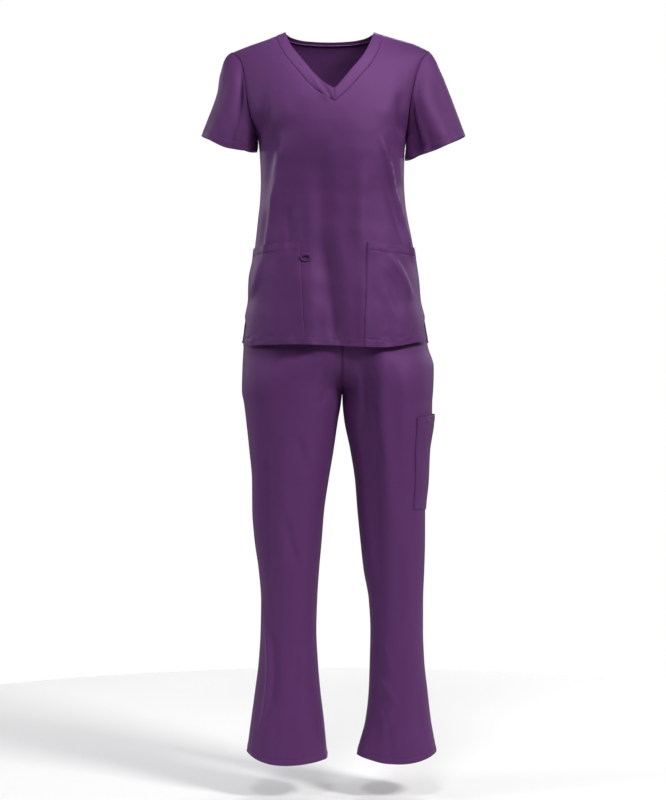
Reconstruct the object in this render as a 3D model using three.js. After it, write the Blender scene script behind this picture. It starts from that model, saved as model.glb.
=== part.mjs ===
// Medical scrubs: a V-neck top over pull-on trousers, in the hollow form of a worn set.
// Millimetres. +Z is up, the front faces -Y, and +X is the wearer's left.
// The origin is the base of the neck, level with the high points of the shoulders.
import * as THREE from "three";
import { mergeVertices } from "three/addons/utils/BufferGeometryUtils.js";

// Cloth and seams
const CLOTH = 1.3; // wall of every sewn panel
const BAND_CLOTH = 1.6; // wall of the doubled neckband
const WAIST_CLOTH = 2.6; // wall of the waistband, cloth round elastic
const SEAM = 0.3; // gap between two panels at a seam
const SLEEVE_GAP = 0.35; // gap between a sleeve and the armhole
const LAY = 0.7; // gap under a patch that lies on a panel

// Top: levels and the shape of its rings
const UNDERARM = -228; // level of the armhole's lowest point
const RING_POWER = 2.3; // a torso ring is a superellipse of this power
const ARM_MIDDLE = -125; // level where the armhole is deepest, front to back
const ARM_DEPTH_FRONT = 56; // how far forward of the side the armhole runs there
const ARM_DEPTH_BACK = 48;
const VENT_TOP = -580; // side vents are open below this
const VENT_FULL = -675; // and have their full width at this level
const VENT_ANGLE = 0.39; // how far round from the side the front edge sits there, radians
const BACK_HEM_SIDE = -651;
const BACK_HEM_MIDDLE = -656;
const BACK_HEM_X = 195; // the back hem reaches its side level this far out
const HEM_X_LEVEL = -628; // level at which a column's x is read for the hem
const SHOULDER_CALM = -90; // body folds have faded out at this level
const ARM_TUBE_POWER = 1.9; // how fast the armhole's stand-off fades towards the chest
const ARM_CURVE_POWER = 0.6; // roundness of the armhole seen from the side

// Rings of the top. Above the underarm, right and left are the armhole edges.
const TORSO = [
  { z: 20, right: -210, left: 198, front: 116, back: 98 },
  { z: -42, right: -208, left: 196, front: 117, back: 100 },
  { z: -66, right: -192, left: 184, front: 118, back: 103 },
  { z: -96, right: -184, left: 173, front: 119, back: 106 },
  { z: -125, right: -180, left: 166, front: 120, back: 108 },
  { z: -156, right: -176, left: 160, front: 122, back: 108 },
  { z: -182, right: -171, left: 157, front: 124, back: 107 },
  { z: -206, right: -164, left: 155, front: 126, back: 106 },
  { z: -228, right: -157, left: 153, front: 127, back: 104 },
  { z: -256, right: -154, left: 150, front: 127, back: 100 },
  { z: -309, right: -152, left: 149, front: 121, back: 93 },
  { z: -351, right: -153.5, left: 151, front: 116, back: 91 },
  { z: -393, right: -157.5, left: 157, front: 115, back: 94 },
  { z: -435, right: -162, left: 165.5, front: 117, back: 100 },
  { z: -477, right: -167.5, left: 172.5, front: 121, back: 107 },
  { z: -519, right: -175.5, left: 179, front: 125, back: 114 },
  { z: -561, right: -177, left: 182.5, front: 128, back: 120 },
  { z: -603, right: -184.5, left: 192.5, front: 131, back: 124 },
  { z: -645, right: -190, left: 199.5, front: 132, back: 128 },
  { z: -670, right: -193, left: 202, front: 132, back: 129 },
];

// Shoulder line: its height over x, carried on across the neck
const SHOULDER = [
  { x: -212, z: -42 },
  { x: -174, z: -27.5 },
  { x: -137, z: -15 },
  { x: -100, z: 0 },
  { x: -60, z: 12 },
  { x: 0, z: 16 },
  { x: 50, z: 12 },
  { x: 86, z: 0 },
  { x: 124, z: -11 },
  { x: 169, z: -23.5 },
  { x: 200, z: -38 },
];

// V neck from the right shoulder to the left: the open edge and the band's seam.
// The middle row is the mitred point.
const NECK = [
  { edgeX: -100, edgeZ: 0, seamX: -120, seamZ: -8.1 },
  { edgeX: -90, edgeZ: -32, seamX: -110, seamZ: -41 },
  { edgeX: -72, edgeZ: -59.5, seamX: -91, seamZ: -73 },
  { edgeX: -55, edgeZ: -82, seamX: -73, seamZ: -96 },
  { edgeX: -35, edgeZ: -107, seamX: -51.5, seamZ: -123.5 },
  { edgeX: -12, edgeZ: -127, seamX: -25, seamZ: -146 },
  { edgeX: 2, edgeZ: -134.5, seamX: 4, seamZ: -163.5 },
  { edgeX: 20.5, edgeZ: -116, seamX: 37, seamZ: -131.5 },
  { edgeX: 39, edgeZ: -92, seamX: 57, seamZ: -107 },
  { edgeX: 60, edgeZ: -65, seamX: 79, seamZ: -78.5 },
  { edgeX: 75, edgeZ: -36, seamX: 95.5, seamZ: -45 },
  { edgeX: 86, edgeZ: 0, seamX: 106.5, seamZ: -5.93 },
];
const V_ROW = 6; // the row of NECK that holds the point
const BAND_WIDTH = 22;
const BINDING_WIDTH = 8.5;
const MITRE = 0.008; // share of a table row that each half of the band stops short of the point

// Back neck: the open edge and the seam of its binding
const BACK_NECK = [
  { edgeX: -100, edgeZ: 0, seamX: -108, seamZ: -3.2 },
  { edgeX: -84, edgeZ: -6, seamX: -88, seamZ: -12.5 },
  { edgeX: -49, edgeZ: -10, seamX: -50, seamZ: -16.5 },
  { edgeX: -7, edgeZ: -11, seamX: -7, seamZ: -17.5 },
  { edgeX: 32, edgeZ: -10, seamX: 33, seamZ: -16.5 },
  { edgeX: 68, edgeZ: -6, seamX: 73, seamZ: -12.5 },
  { edgeX: 86, edgeZ: 0, seamX: 94, seamZ: -2.3 },
];

// Front hem of the top over x: it dips a little left of the middle
const FRONT_HEM = [
  { x: -180, z: -659 },
  { x: -110, z: -658 },
  { x: -5, z: -660 },
  { x: 55, z: -663 },
  { x: 115, z: -664 },
  { x: 150, z: -661 },
  { x: 190, z: -652 },
];

// Sleeves. The cuff runs from the outer point to the inner one. sideX, sideY and sideZ bend
// the cloth between armhole and cuff at its front and back, and topX and topZ at the shoulder.
const SLEEVE = {
  right: {
    side: -1, outerX: -276.5, outerZ: -216, innerX: -159.5, innerZ: -250, halfDepth: 58, frontDrop: 17,
    backDrop: -2, topX: 22, topZ: -3, sideX: 16, sideY: 16, sideZ: -46,
  },
  left: {
    side: 1, outerX: 277.5, outerZ: -217, innerX: 151.4, innerZ: -268, halfDepth: 56, frontDrop: 11,
    backDrop: -4, topX: 17, topZ: -6, sideX: 14, sideY: 15, sideZ: -52,
  },
};

// The bend of the cloth at the underarm, from the armhole
const UNDER_BEND = { x: 0.8, z: -9 };

// How far the shoulder line of each sleeve stands out from a plain sweep, over its length
const SLEEVE_OUTLINE = {
  right: [
    { at: 0, out: 0 },
    { at: 0.25, out: 4.5 },
    { at: 0.5, out: 1 },
    { at: 0.73, out: -7 },
    { at: 1, out: 0 },
  ],
  left: [
    { at: 0, out: 0 },
    { at: 0.3, out: 3 },
    { at: 0.65, out: 1.5 },
    { at: 1, out: 0 },
  ],
};

// Pockets of the top: inner edge at the top and at the hem, and the height of the top edge
const TOP_POCKET = {
  right: { side: -1, innerTopX: -69.5, innerHemX: -57, topInner: -449.5, topMiddle: -452, topSide: -458 },
  left: { side: 1, innerTopX: 69, innerHemX: 63, topInner: -449.5, topMiddle: -454.5, topSide: -457 },
};
const BADGE_LOOP = { z: -481, pocketShare: 0.15, halfWidth: 9.5, halfHeight: 6.8, cord: 1.7, clear: 1.9 };

// Trousers: levels and the centre seam
const WAIST_TOP = -490;
const WAIST_BOTTOM = -530;
const CROTCH = -754;
const RISE_TOP = -640; // the centre seam is straight above this and curves under below it
const RISE_POWER = 2.2; // how late the seam leaves the upright, going down
const RISE_CLOSING = 0.62; // and how squarely it meets the crotch
const CENTRE_X = 19.3; // the figure stands a little to its left of the top's centre
const HIP_POWER = 2.1; // a leg's section and the hip's ring are superellipses of this power

// Sections of the two legs. turn is how far the seams are turned to the front, in degrees.
const LEG = {
  right: [
    { z: -490, outer: -150, inner: CENTRE_X, front: 102, back: 97, turn: 0 },
    { z: -530, outer: -157, inner: CENTRE_X, front: 105, back: 103, turn: 0 },
    { z: -580, outer: -173, inner: CENTRE_X, front: 109, back: 111, turn: 0 },
    { z: -603, outer: -180.5, inner: CENTRE_X, front: 111, back: 111.6, turn: 0 },
    { z: -645, outer: -187.6, inner: CENTRE_X, front: 113, back: 114.5, turn: 0 },
    { z: -660, outer: -188.4, inner: CENTRE_X, front: 113, back: 115, turn: 0 },
    { z: -702, outer: -190.5, inner: CENTRE_X, front: 111, back: 117, turn: 0 },
    { z: -752, outer: -191.3, inner: CENTRE_X, front: 106, back: 114, turn: 0 },
    { z: -777, outer: -187, inner: 17, front: 102, back: 108, turn: 0 },
    { z: -813, outer: -182.5, inner: 10.7, front: 98, back: 102, turn: 0 },
    { z: -876, outer: -175.8, inner: 1.5, front: 92, back: 96, turn: 0 },
    { z: -939, outer: -170.2, inner: -9, front: 86, back: 91, turn: 0 },
    { z: -1002, outer: -169.7, inner: -18.2, front: 80, back: 86, turn: 0 },
    { z: -1065, outer: -164.8, inner: -23.3, front: 74, back: 83, turn: 0 },
    { z: -1128, outer: -156, inner: -29, front: 69, back: 80, turn: 2 },
    { z: -1191, outer: -151.2, inner: -33, front: 65, back: 78, turn: 6 },
    { z: -1254, outer: -152.2, inner: -34.8, front: 62, back: 76, turn: 12 },
    { z: -1317, outer: -156, inner: -31.8, front: 60, back: 75, turn: 18 },
    { z: -1380, outer: -163.8, inner: -26.4, front: 59, back: 75, turn: 23 },
    { z: -1443, outer: -172.4, inner: -18.8, front: 59, back: 76, turn: 27 },
    { z: -1506, outer: -180.6, inner: -12.9, front: 60, back: 77, turn: 28 },
    { z: -1540, outer: -184, inner: -10, front: 60, back: 77, turn: 28 },
  ],
  left: [
    { z: -490, outer: 160, inner: CENTRE_X, front: 102, back: 97, turn: 0 },
    { z: -530, outer: 167, inner: CENTRE_X, front: 105, back: 103, turn: 0 },
    { z: -580, outer: 181.5, inner: CENTRE_X, front: 109, back: 111, turn: 0 },
    { z: -603, outer: 188.5, inner: CENTRE_X, front: 111, back: 111.6, turn: 0 },
    { z: -645, outer: 197.2, inner: CENTRE_X, front: 113, back: 114.5, turn: 0 },
    { z: -660, outer: 200, inner: CENTRE_X, front: 113, back: 115, turn: 0 },
    { z: -702, outer: 211.8, inner: CENTRE_X, front: 111, back: 117, turn: 0 },
    { z: -752, outer: 210.2, inner: CENTRE_X, front: 106, back: 114, turn: 0 },
    { z: -777, outer: 208.3, inner: 19.8, front: 102, back: 108, turn: 0 },
    { z: -813, outer: 208, inner: 23.3, front: 98, back: 102, turn: 0 },
    { z: -876, outer: 201.5, inner: 36.1, front: 92, back: 96, turn: 2 },
    { z: -939, outer: 199.2, inner: 46, front: 86, back: 91, turn: 6 },
    { z: -1002, outer: 193.6, inner: 51, front: 80, back: 86, turn: 9 },
    { z: -1065, outer: 193.4, inner: 57.2, front: 74, back: 83, turn: 9 },
    { z: -1128, outer: 191.7, inner: 64.2, front: 69, back: 80, turn: 5 },
    { z: -1191, outer: 189.3, inner: 75, front: 65, back: 78, turn: 0 },
    { z: -1254, outer: 189.2, inner: 78.3, front: 62, back: 76, turn: 0 },
    { z: -1317, outer: 191.7, inner: 77, front: 60, back: 75, turn: 0 },
    { z: -1380, outer: 198.5, inner: 74.8, front: 59, back: 75, turn: 0 },
    { z: -1443, outer: 206, inner: 67.8, front: 59, back: 76, turn: 0 },
    { z: -1506, outer: 217, inner: 51.4, front: 60, back: 77, turn: 0 },
    { z: -1540, outer: 221, inner: 46, front: 60, back: 77, turn: 0 },
  ],
};
const LEG_HEM = {
  right: { outer: -1506, inner: -1520, front: -1527, back: -1512 },
  left: { outer: -1506, inner: -1513, front: -1524, back: -1510 },
};
const HEM_REACH = 160; // the hem's curve fades out over this height

// Side pocket openings at the hips: the front panel's edge is cut back between two levels,
// and the facing under it starts just past the side seam and reaches beyond both levels.
const SLASH = { top: -560, bottom: -738, depth: 0.17, start: 0.022, cover: 0.2, reach: 12, sink: 0.8 };

// Cargo pocket on the left thigh: angles round the leg from the side seam, front positive
const CARGO = {
  frontAngle: 0.93, backAngle: -0.8, topFront: -807, topSide: -800, bottomFront: -996, bottomSide: -1010,
  standOff: 2.4, standFrom: 0.6, lay: 0.8, columnsFront: 7, columnsBack: 6,
};

// The largest folds: a line on the cloth from (x0, z0) to (x1, z1), its half width and height.
// A negative height is a trough.
const FOLDS = {
  topFront: [
    { x0: 3, z0: -300, x1: 8, z1: -600, width: 24, height: -6 },
    { x0: -48, z0: -330, x1: -46, z1: -680, width: 19, height: 4 },
    { x0: 58, z0: -300, x1: 50, z1: -470, width: 20, height: 3 },
    { x0: 94, z0: -225, x1: 128, z1: -350, width: 8, height: 4 },
    { x0: 122, z0: -330, x1: 158, z1: -470, width: 8, height: 4 },
    { x0: 116, z0: -345, x1: 138, z1: -470, width: 7, height: 3 },
    { x0: -112, z0: -290, x1: -142, z1: -470, width: 10, height: 4 },
    { x0: -122, z0: -215, x1: -100, z1: -330, width: 14, height: -5 },
    { x0: 30, z0: -480, x1: 46, z1: -640, width: 14, height: -4 },
  ],
  topBack: [
    { x0: -40, z0: -280, x1: -62, z1: -460, width: 20, height: -6 },
    { x0: 40, z0: -270, x1: 66, z1: -470, width: 20, height: -6 },
    { x0: 2, z0: -320, x1: 0, z1: -640, width: 24, height: 5 },
    { x0: -110, z0: -350, x1: -126, z1: -560, width: 14, height: 4 },
    { x0: 112, z0: -360, x1: 132, z1: -560, width: 14, height: 4 },
  ],
  rightFront: [
    { x0: -134, z0: -830, x1: -128, z1: -1190, width: 12, height: -4 },
    { x0: -80, z0: -850, x1: -44, z1: -960, width: 12, height: -3 },
    { x0: -106, z0: -1000, x1: -72, z1: -1130, width: 12, height: -3 },
    { x0: -150, z0: -1235, x1: -137, z1: -1420, width: 7, height: 5 },
    { x0: -140, z0: -1400, x1: -162, z1: -1500, width: 8, height: 4 },
    { x0: -20, z0: -690, x1: -10, z1: -800, width: 10, height: -3 },
  ],
  leftFront: [
    { x0: 58, z0: -655, x1: 76, z1: -800, width: 11, height: -6 },
    { x0: 90, z0: -690, x1: 92, z1: -900, width: 12, height: -6 },
    { x0: 46, z0: -715, x1: 56, z1: -790, width: 10, height: 6 },
    { x0: 84, z0: -1310, x1: 136, z1: -1420, width: 10, height: 4 },
    { x0: 84, z0: -1430, x1: 116, z1: -1500, width: 9, height: 4 },
  ],
  rightBack: [
    { x0: -110, z0: -770, x1: -40, z1: -830, width: 12, height: -5 },
    { x0: -120, z0: -1120, x1: -60, z1: -1190, width: 12, height: -5 },
    { x0: -150, z0: -860, x1: -140, z1: -1100, width: 14, height: 4 },
    { x0: -90, z0: -1230, x1: -120, z1: -1460, width: 12, height: 4 },
  ],
  leftBack: [
    { x0: 130, z0: -775, x1: 70, z1: -835, width: 12, height: -5 },
    { x0: 150, z0: -1130, x1: 95, z1: -1190, width: 12, height: -5 },
    { x0: 120, z0: -1240, x1: 150, z1: -1470, width: 12, height: 4 },
  ],
};

// Folds of the sleeves: the angle round from the shoulder line, front positive, in degrees
const SLEEVE_FOLDS = {
  right: [
    { angle: 112, from: 0.1, to: 1.1, width: 16, height: -6 },
    { angle: 148, from: 0, to: 0.9, width: 12, height: 4 },
    { angle: -110, from: 0.1, to: 1, width: 18, height: -5 },
  ],
  left: [
    { angle: 104, from: 0.05, to: 0.8, width: 15, height: -6 },
    { angle: 62, from: 0.3, to: 1.1, width: 18, height: 3 },
    { angle: -112, from: 0.1, to: 1, width: 18, height: -5 },
  ],
};

// Colours from the cloth as it shows in daylight
const PURPLE = 0x5a3a6a;
const BAND_PURPLE = 0x624072;
const LEG_PURPLE = 0x55366a;
const CLOTH_ROUGHNESS = 0.72;

// Smooth curve through one column of a table, over its key column, without overshoot
function curve(rows, key, column, at) {
  const sign = rows[0][key] < rows[rows.length - 1][key] ? 1 : -1;
  const keyOf = (i) => sign * rows[i][key];
  const target = sign * at;
  if (target <= keyOf(0)) return rows[0][column];
  if (target >= keyOf(rows.length - 1)) return rows[rows.length - 1][column];
  let i = 0;
  while (keyOf(i + 1) < target) i += 1;
  const slope = (k) => (rows[k + 1][column] - rows[k][column]) / (keyOf(k + 1) - keyOf(k));
  const tangent = (k) => {
    if (k === 0) return slope(0);
    if (k === rows.length - 1) return slope(k - 1);
    const before = slope(k - 1);
    const after = slope(k);
    return before * after <= 0 ? 0 : (2 * before * after) / (before + after);
  };
  const span = keyOf(i + 1) - keyOf(i);
  const t = (target - keyOf(i)) / span;
  const t2 = t * t;
  const t3 = t2 * t;
  return (
    (2 * t3 - 3 * t2 + 1) * rows[i][column] +
    (t3 - 2 * t2 + t) * span * tangent(i) +
    (3 * t2 - 2 * t3) * rows[i + 1][column] +
    (t3 - t2) * span * tangent(i + 1)
  );
}

const lerp = THREE.MathUtils.lerp;
const clamp = THREE.MathUtils.clamp;
const signedPower = (value, power) => Math.sign(value) * Math.abs(value) ** power;

// Smooth step from 0 at start to 1 at end
function ramp(value, start, end) {
  const t = clamp((value - start) / (end - start), 0, 1);
  return t * t * (3 - 2 * t);
}

// Sum of the folds at a place: a bell across each line, fading out at its two ends
function foldHeight(folds, x, z) {
  let sum = 0;
  for (const fold of folds) {
    const dx = fold.x1 - fold.x0;
    const dz = fold.z1 - fold.z0;
    const length = Math.hypot(dx, dz);
    const along = ((x - fold.x0) * dx + (z - fold.z0) * dz) / (length * length);
    const across = ((x - fold.x0) * dz - (z - fold.z0) * dx) / length;
    const fade = ramp(along, -0.05, 0.3) * (1 - ramp(along, 0.7, 1.05));
    sum += fold.height * fade * Math.exp(-0.5 * (across / (0.6 * fold.width)) ** 2);
  }
  return sum;
}

// Unit normal of a surface of two parameters, from small steps that stay inside its square
function normalAt(surface, u, v) {
  const step = 1e-4;
  const u0 = Math.max(0, u - step);
  const u1 = Math.min(1, u + step);
  const v0 = Math.max(0, v - step);
  const v1 = Math.min(1, v + step);
  const along = surface(u1, v).sub(surface(u0, v));
  const up = surface(u, v1).sub(surface(u, v0));
  return along.cross(up).normalize();
}

// The same surface moved along its normal by a height that may vary
function raised(surface, height) {
  return (u, v) => {
    const amount = typeof height === "number" ? height : height(u, v);
    return surface(u, v).addScaledVector(normalAt(surface, u, v), amount);
  };
}

// Closed wall between an outer and an inner skin. columns and rows are the parameter values of
// the grid. A ring closes on itself along u.
function wallBetween(outer, inner, columns, rows, ring = false) {
  const positions = [];
  const skins = [];
  const used = ring ? columns.slice(0, -1) : columns;
  for (const skin of [outer, inner]) {
    skins.push(used.map((u) => rows.map((v) => {
      const point = skin(u, v);
      positions.push(point.x, point.y, point.z);
      return positions.length / 3 - 1;
    })));
  }
  const faces = [];
  const quad = (a, b, c, d) => faces.push(a, b, c, a, c, d);
  const [outside, inside] = skins;
  const count = used.length;
  const last = ring ? count : count - 1;
  for (let i = 0; i < last; i += 1) {
    const n = (i + 1) % count;
    for (let j = 0; j + 1 < rows.length; j += 1) {
      quad(outside[i][j], outside[n][j], outside[n][j + 1], outside[i][j + 1]);
      quad(inside[i][j], inside[i][j + 1], inside[n][j + 1], inside[n][j]);
    }
    const top = rows.length - 1;
    quad(outside[i][0], inside[i][0], inside[n][0], outside[n][0]);
    quad(outside[i][top], outside[n][top], inside[n][top], inside[i][top]);
  }
  if (!ring) {
    const end = count - 1;
    for (let j = 0; j + 1 < rows.length; j += 1) {
      quad(outside[0][j], outside[0][j + 1], inside[0][j + 1], inside[0][j]);
      quad(outside[end][j], inside[end][j], inside[end][j + 1], outside[end][j + 1]);
    }
  }
  const geometry = new THREE.BufferGeometry();
  geometry.setAttribute("position", new THREE.Float32BufferAttribute(positions, 3));
  geometry.setIndex(faces);
  geometry.computeVertexNormals();
  return geometry;
}

// Wall of cloth whose outer skin follows the surface, with its inner skin a thickness inside
const clothWall = (surface, columns, rows, wall, ring) =>
  wallBetween(surface, raised(surface, -wall), columns, rows, ring);

// The flat facets that a grid makes of a surface, as a surface of the same two parameters
function facets(surface, columns, rows) {
  const cell = (list, value) => {
    let i = 0;
    while (i < list.length - 2 && list[i + 1] <= value) i += 1;
    return [i, (value - list[i]) / (list[i + 1] - list[i])];
  };
  return (u, v) => {
    const [i, s] = cell(columns, u);
    const [j, t] = cell(rows, v);
    const a = surface(columns[i], rows[j]);
    const c = surface(columns[i + 1], rows[j + 1]);
    const corner = s >= t ? surface(columns[i + 1], rows[j]) : surface(columns[i], rows[j + 1]);
    const point = a.multiplyScalar(1 - Math.max(s, t));
    return point.addScaledVector(corner, Math.abs(s - t)).addScaledVector(c, Math.min(s, t));
  };
}

// Even steps from one value to another
const steps = (from, to, count) => Array.from({ length: count + 1 }, (_, i) => lerp(from, to, i / count));

const group = new THREE.Group();
group.name = "medical_scrubs";

function addPiece(name, geometry, color) {
  const material = new THREE.MeshStandardMaterial({ color, roughness: CLOTH_ROUGHNESS, metalness: 0 });
  const mesh = new THREE.Mesh(geometry, material);
  mesh.name = name;
  group.add(mesh);
}

// TOP

// Height of the shoulder line, straight between the rows of its table
function shoulderZ(x) {
  const inside = clamp(x, SHOULDER[0].x, SHOULDER[SHOULDER.length - 1].x - 0.001);
  const i = SHOULDER.findIndex((row) => row.x > inside);
  const share = (inside - SHOULDER[i - 1].x) / (SHOULDER[i].x - SHOULDER[i - 1].x);
  return lerp(SHOULDER[i - 1].z, SHOULDER[i].z, share);
}

// x of the torso at an angle round the front or back: -90 degrees is the right side, 90 the left
function torsoX(angle, z) {
  const right = curve(TORSO, "z", "right", z);
  const left = curve(TORSO, "z", "left", z);
  return (right + left) / 2 + ((left - right) / 2) * signedPower(Math.sin(angle), 2 / RING_POWER);
}

// The angle at which the torso has a given x
function torsoAngle(x, z) {
  const right = curve(TORSO, "z", "right", z);
  const left = curve(TORSO, "z", "left", z);
  const share = clamp((x - (right + left) / 2) / ((left - right) / 2), -1, 1);
  return Math.asin(signedPower(share, RING_POWER / 2));
}

// Point of the torso. Below the underarm it is a ring. Above, the ring closes over the
// shoulder line as a quarter circle does, and the armhole edge stands forward of the side.
function torsoPoint(face, angle, z) {
  const x = torsoX(angle, z);
  const depth = curve(TORSO, "z", face < 0 ? "front" : "back", z);
  const armDepth = face < 0 ? ARM_DEPTH_FRONT : ARM_DEPTH_BACK;
  let edge = 0;
  let closing = 1;
  if (z > UNDERARM) {
    const below = clamp((ARM_MIDDLE - z) / (ARM_MIDDLE - UNDERARM), 0, 1);
    edge = armDepth * (1 - below * below) ** ARM_CURVE_POWER;
    const rise = clamp((z - UNDERARM) / (shoulderZ(x) - UNDERARM), 0, 1);
    closing = Math.sqrt(1 - rise * rise);
  }
  const across = Math.abs(Math.cos(angle)) ** (2 / RING_POWER);
  const reach = (depth * across + edge * (1 - across) ** ARM_TUBE_POWER) * closing;
  return new THREE.Vector3(x, face * (SEAM / 2 + reach), z);
}

// Folds fade out at the side seams, so that front and back still meet
const sideFade = (angle) => 1 - (2 * Math.abs(angle) / Math.PI) ** 10;

// Height where a column of the torso meets a boundary that is given over x
function columnTop(angle, boundary) {
  let low = UNDERARM;
  let high = TORSO[0].z;
  for (let i = 0; i < 40; i += 1) {
    const middle = (low + high) / 2;
    if (middle < boundary(torsoX(angle, middle))) low = middle;
    else high = middle;
  }
  return low;
}

// Height of a neck seam over x
const seamHeight = (rows, x) => Math.min(shoulderZ(x), curve(rows, "seamX", "seamZ", x));
const frontHalf = (x) => (x < NECK[V_ROW].seamX ? NECK.slice(0, V_ROW + 1) : NECK.slice(V_ROW));
const frontSeam = (x) => seamHeight(frontHalf(x), x);
const backSeam = (x) => seamHeight(BACK_NECK, x);

// Upper boundary of a panel: the shoulder line and, between the ends of the neck, its seam
function panelTop(rows, seam) {
  const from = rows[0].seamX;
  const to = rows[rows.length - 1].seamX;
  return (x) => (x <= from || x >= to ? shoulderZ(x) : seam(x));
}

// How far round the front panel's edge lies at a level: at the side seam, or at the vent's edge
function frontEdgeAngle(z) {
  return Math.PI / 2 - VENT_ANGLE * ramp(z, VENT_TOP, VENT_FULL);
}

// A panel of the top as a surface: u goes round it, v from the hem to the underarm at
// UNDER_SHARE and on up to its upper boundary, with rows closer where the shoulder rounds over
const UNDER_SHARE = 0.6;
function topPanel(face, boundary, hem, folds) {
  const flat = (u, v) => {
    const turn = face < 0 ? 2 * u - 1 : 1 - 2 * u;
    let z;
    let angle = (turn * Math.PI) / 2;
    if (v <= UNDER_SHARE) {
      const bottom = hem(torsoX(angle, HEM_X_LEVEL));
      z = lerp(bottom, UNDERARM, v / UNDER_SHARE);
      if (face < 0) angle = turn * frontEdgeAngle(z);
    } else {
      const top = columnTop(angle, boundary);
      const share = (v - UNDER_SHARE) / (1 - UNDER_SHARE);
      z = lerp(UNDERARM, top, (1 - Math.cos(Math.PI * share)) / 2);
    }
    return { angle, z };
  };
  return (u, v) => {
    const place = flat(u, v);
    return torsoSkin(face, place.angle, place.z, folds);
  };
}

// Point of the torso with its folds, moved along the ring's normal
function torsoSkin(face, angle, z, folds) {
  const point = torsoPoint(face, angle, z);
  const step = 1e-4;
  const limit = Math.PI / 2;
  const a0 = torsoPoint(face, Math.max(-limit, angle - step), z);
  const a1 = torsoPoint(face, Math.min(limit, angle + step), z);
  const round = a1.sub(a0);
  const normal = new THREE.Vector3(-round.y, round.x, 0).normalize().multiplyScalar(face);
  const shoulderFade = 1 - ramp(z, UNDERARM, SHOULDER_CALM);
  const height = foldHeight(folds, point.x, z) * sideFade(angle) * shoulderFade;
  return point.addScaledVector(normal, height);
}

// Shares of the way from a shoulder to the point of the V, closer where the shoulder rounds over
const BAND_STEPS = [0, 0.02, 0.06, 0.12, 0.2, 0.32, 0.46, 0.6, 0.8, 1];
const BAND_STEPS_BACK = [0, 0.02, 0.06, 0.14, 0.3, 0.5, 0.7, 0.86, 0.94, 0.98, 1];
const mirrored = BAND_STEPS.map((share) => 1 - share).reverse();

// A neck table's station: its rows are told apart by their place in the table
function neckStation(rows, at) {
  const placed = rows.map((row, place) => ({ ...row, place }));
  return {
    seamX: curve(placed, "place", "seamX", at),
    edgeX: curve(placed, "place", "edgeX", at),
    edgeZ: curve(placed, "place", "edgeZ", at),
  };
}

// Columns of a panel pass through the stations of its neck seam
function neckColumns(rows, seam, places) {
  return places.map((at) => {
    const x = neckStation(rows, at).seamX;
    return (torsoAngle(x, seam(x)) / (Math.PI / 2) + 1) / 2;
  });
}
const lastRow = NECK.length - 1;
const rightPlaces = BAND_STEPS.map((share) => share * V_ROW);
const leftPlaces = mirrored.map((share) => lerp(V_ROW, lastRow, share));
const frontNeck = neckColumns(NECK, frontSeam, [...rightPlaces, ...leftPlaces.slice(1)]);
const frontColumns = [
  ...steps(0, frontNeck[0], 5),
  ...frontNeck.slice(1),
  ...steps(frontNeck[frontNeck.length - 1], 1, 5).slice(1),
];
const ARM_ROWS = 11; // rows of both panels, and columns of half a sleeve, along the armhole
const armRows = steps(UNDER_SHARE, 1, ARM_ROWS).slice(1);
const panelRows = [...steps(0, UNDER_SHARE, 14), ...armRows];
const frontHem = (x) => curve(FRONT_HEM, "x", "z", x);
const topFront = topPanel(-1, panelTop(NECK, frontSeam), frontHem, FOLDS.topFront);
addPiece("top_front", clothWall(topFront, frontColumns, panelRows, CLOTH), PURPLE);

const backHem = (x) => lerp(BACK_HEM_MIDDLE, BACK_HEM_SIDE, (Math.abs(x) / BACK_HEM_X) ** 2);
const backPlaces = BAND_STEPS_BACK.map((share) => share * (BACK_NECK.length - 1));
const backNeck = neckColumns(BACK_NECK, backSeam, backPlaces).map((share) => 1 - share).reverse();
const backColumns = [
  ...steps(0, backNeck[0], 5),
  ...backNeck.slice(1),
  ...steps(backNeck[backNeck.length - 1], 1, 5).slice(1),
];
const backRows = [...steps(0, UNDER_SHARE, 11), ...armRows];
const topBack = topPanel(1, panelTop(BACK_NECK, backSeam), backHem, FOLDS.topBack);
addPiece("top_back", clothWall(topBack, backColumns, backRows, CLOTH), PURPLE);

// A band of the neck between two stations of its table: u runs along it, v from its seam to
// its open edge
function neckBand(face, rows, seam, folds, width, from, to) {
  return (u, v) => {
    const { seamX, edgeX, edgeZ } = neckStation(rows, lerp(from, to, u));
    const share = lerp(SEAM / width, 1, v);
    const x = lerp(seamX, edgeX, share);
    const z = Math.min(lerp(seam(seamX), edgeZ, share), shoulderZ(x));
    return torsoSkin(face, torsoAngle(x, z), z, folds);
  };
}

const proud = BAND_CLOTH - CLOTH;
function addBand(name, surface, columns, rows) {
  addPiece(name, clothWall(raised(surface, proud), columns, rows, BAND_CLOTH), BAND_PURPLE);
}
const frontBand = (from, to) => neckBand(-1, NECK, frontSeam, FOLDS.topFront, BAND_WIDTH, from, to);
addBand("neckband_front_right", frontBand(0, V_ROW - MITRE), BAND_STEPS, [0, 0.5, 1]);
addBand("neckband_front_left", frontBand(V_ROW + MITRE, lastRow), mirrored, [0, 0.5, 1]);
const backBand = neckBand(1, BACK_NECK, backSeam, FOLDS.topBack, BINDING_WIDTH, BACK_NECK.length - 1, 0);
addBand("neckband_back", backBand, BAND_STEPS_BACK, [0, 1]);

// SLEEVES

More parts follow.
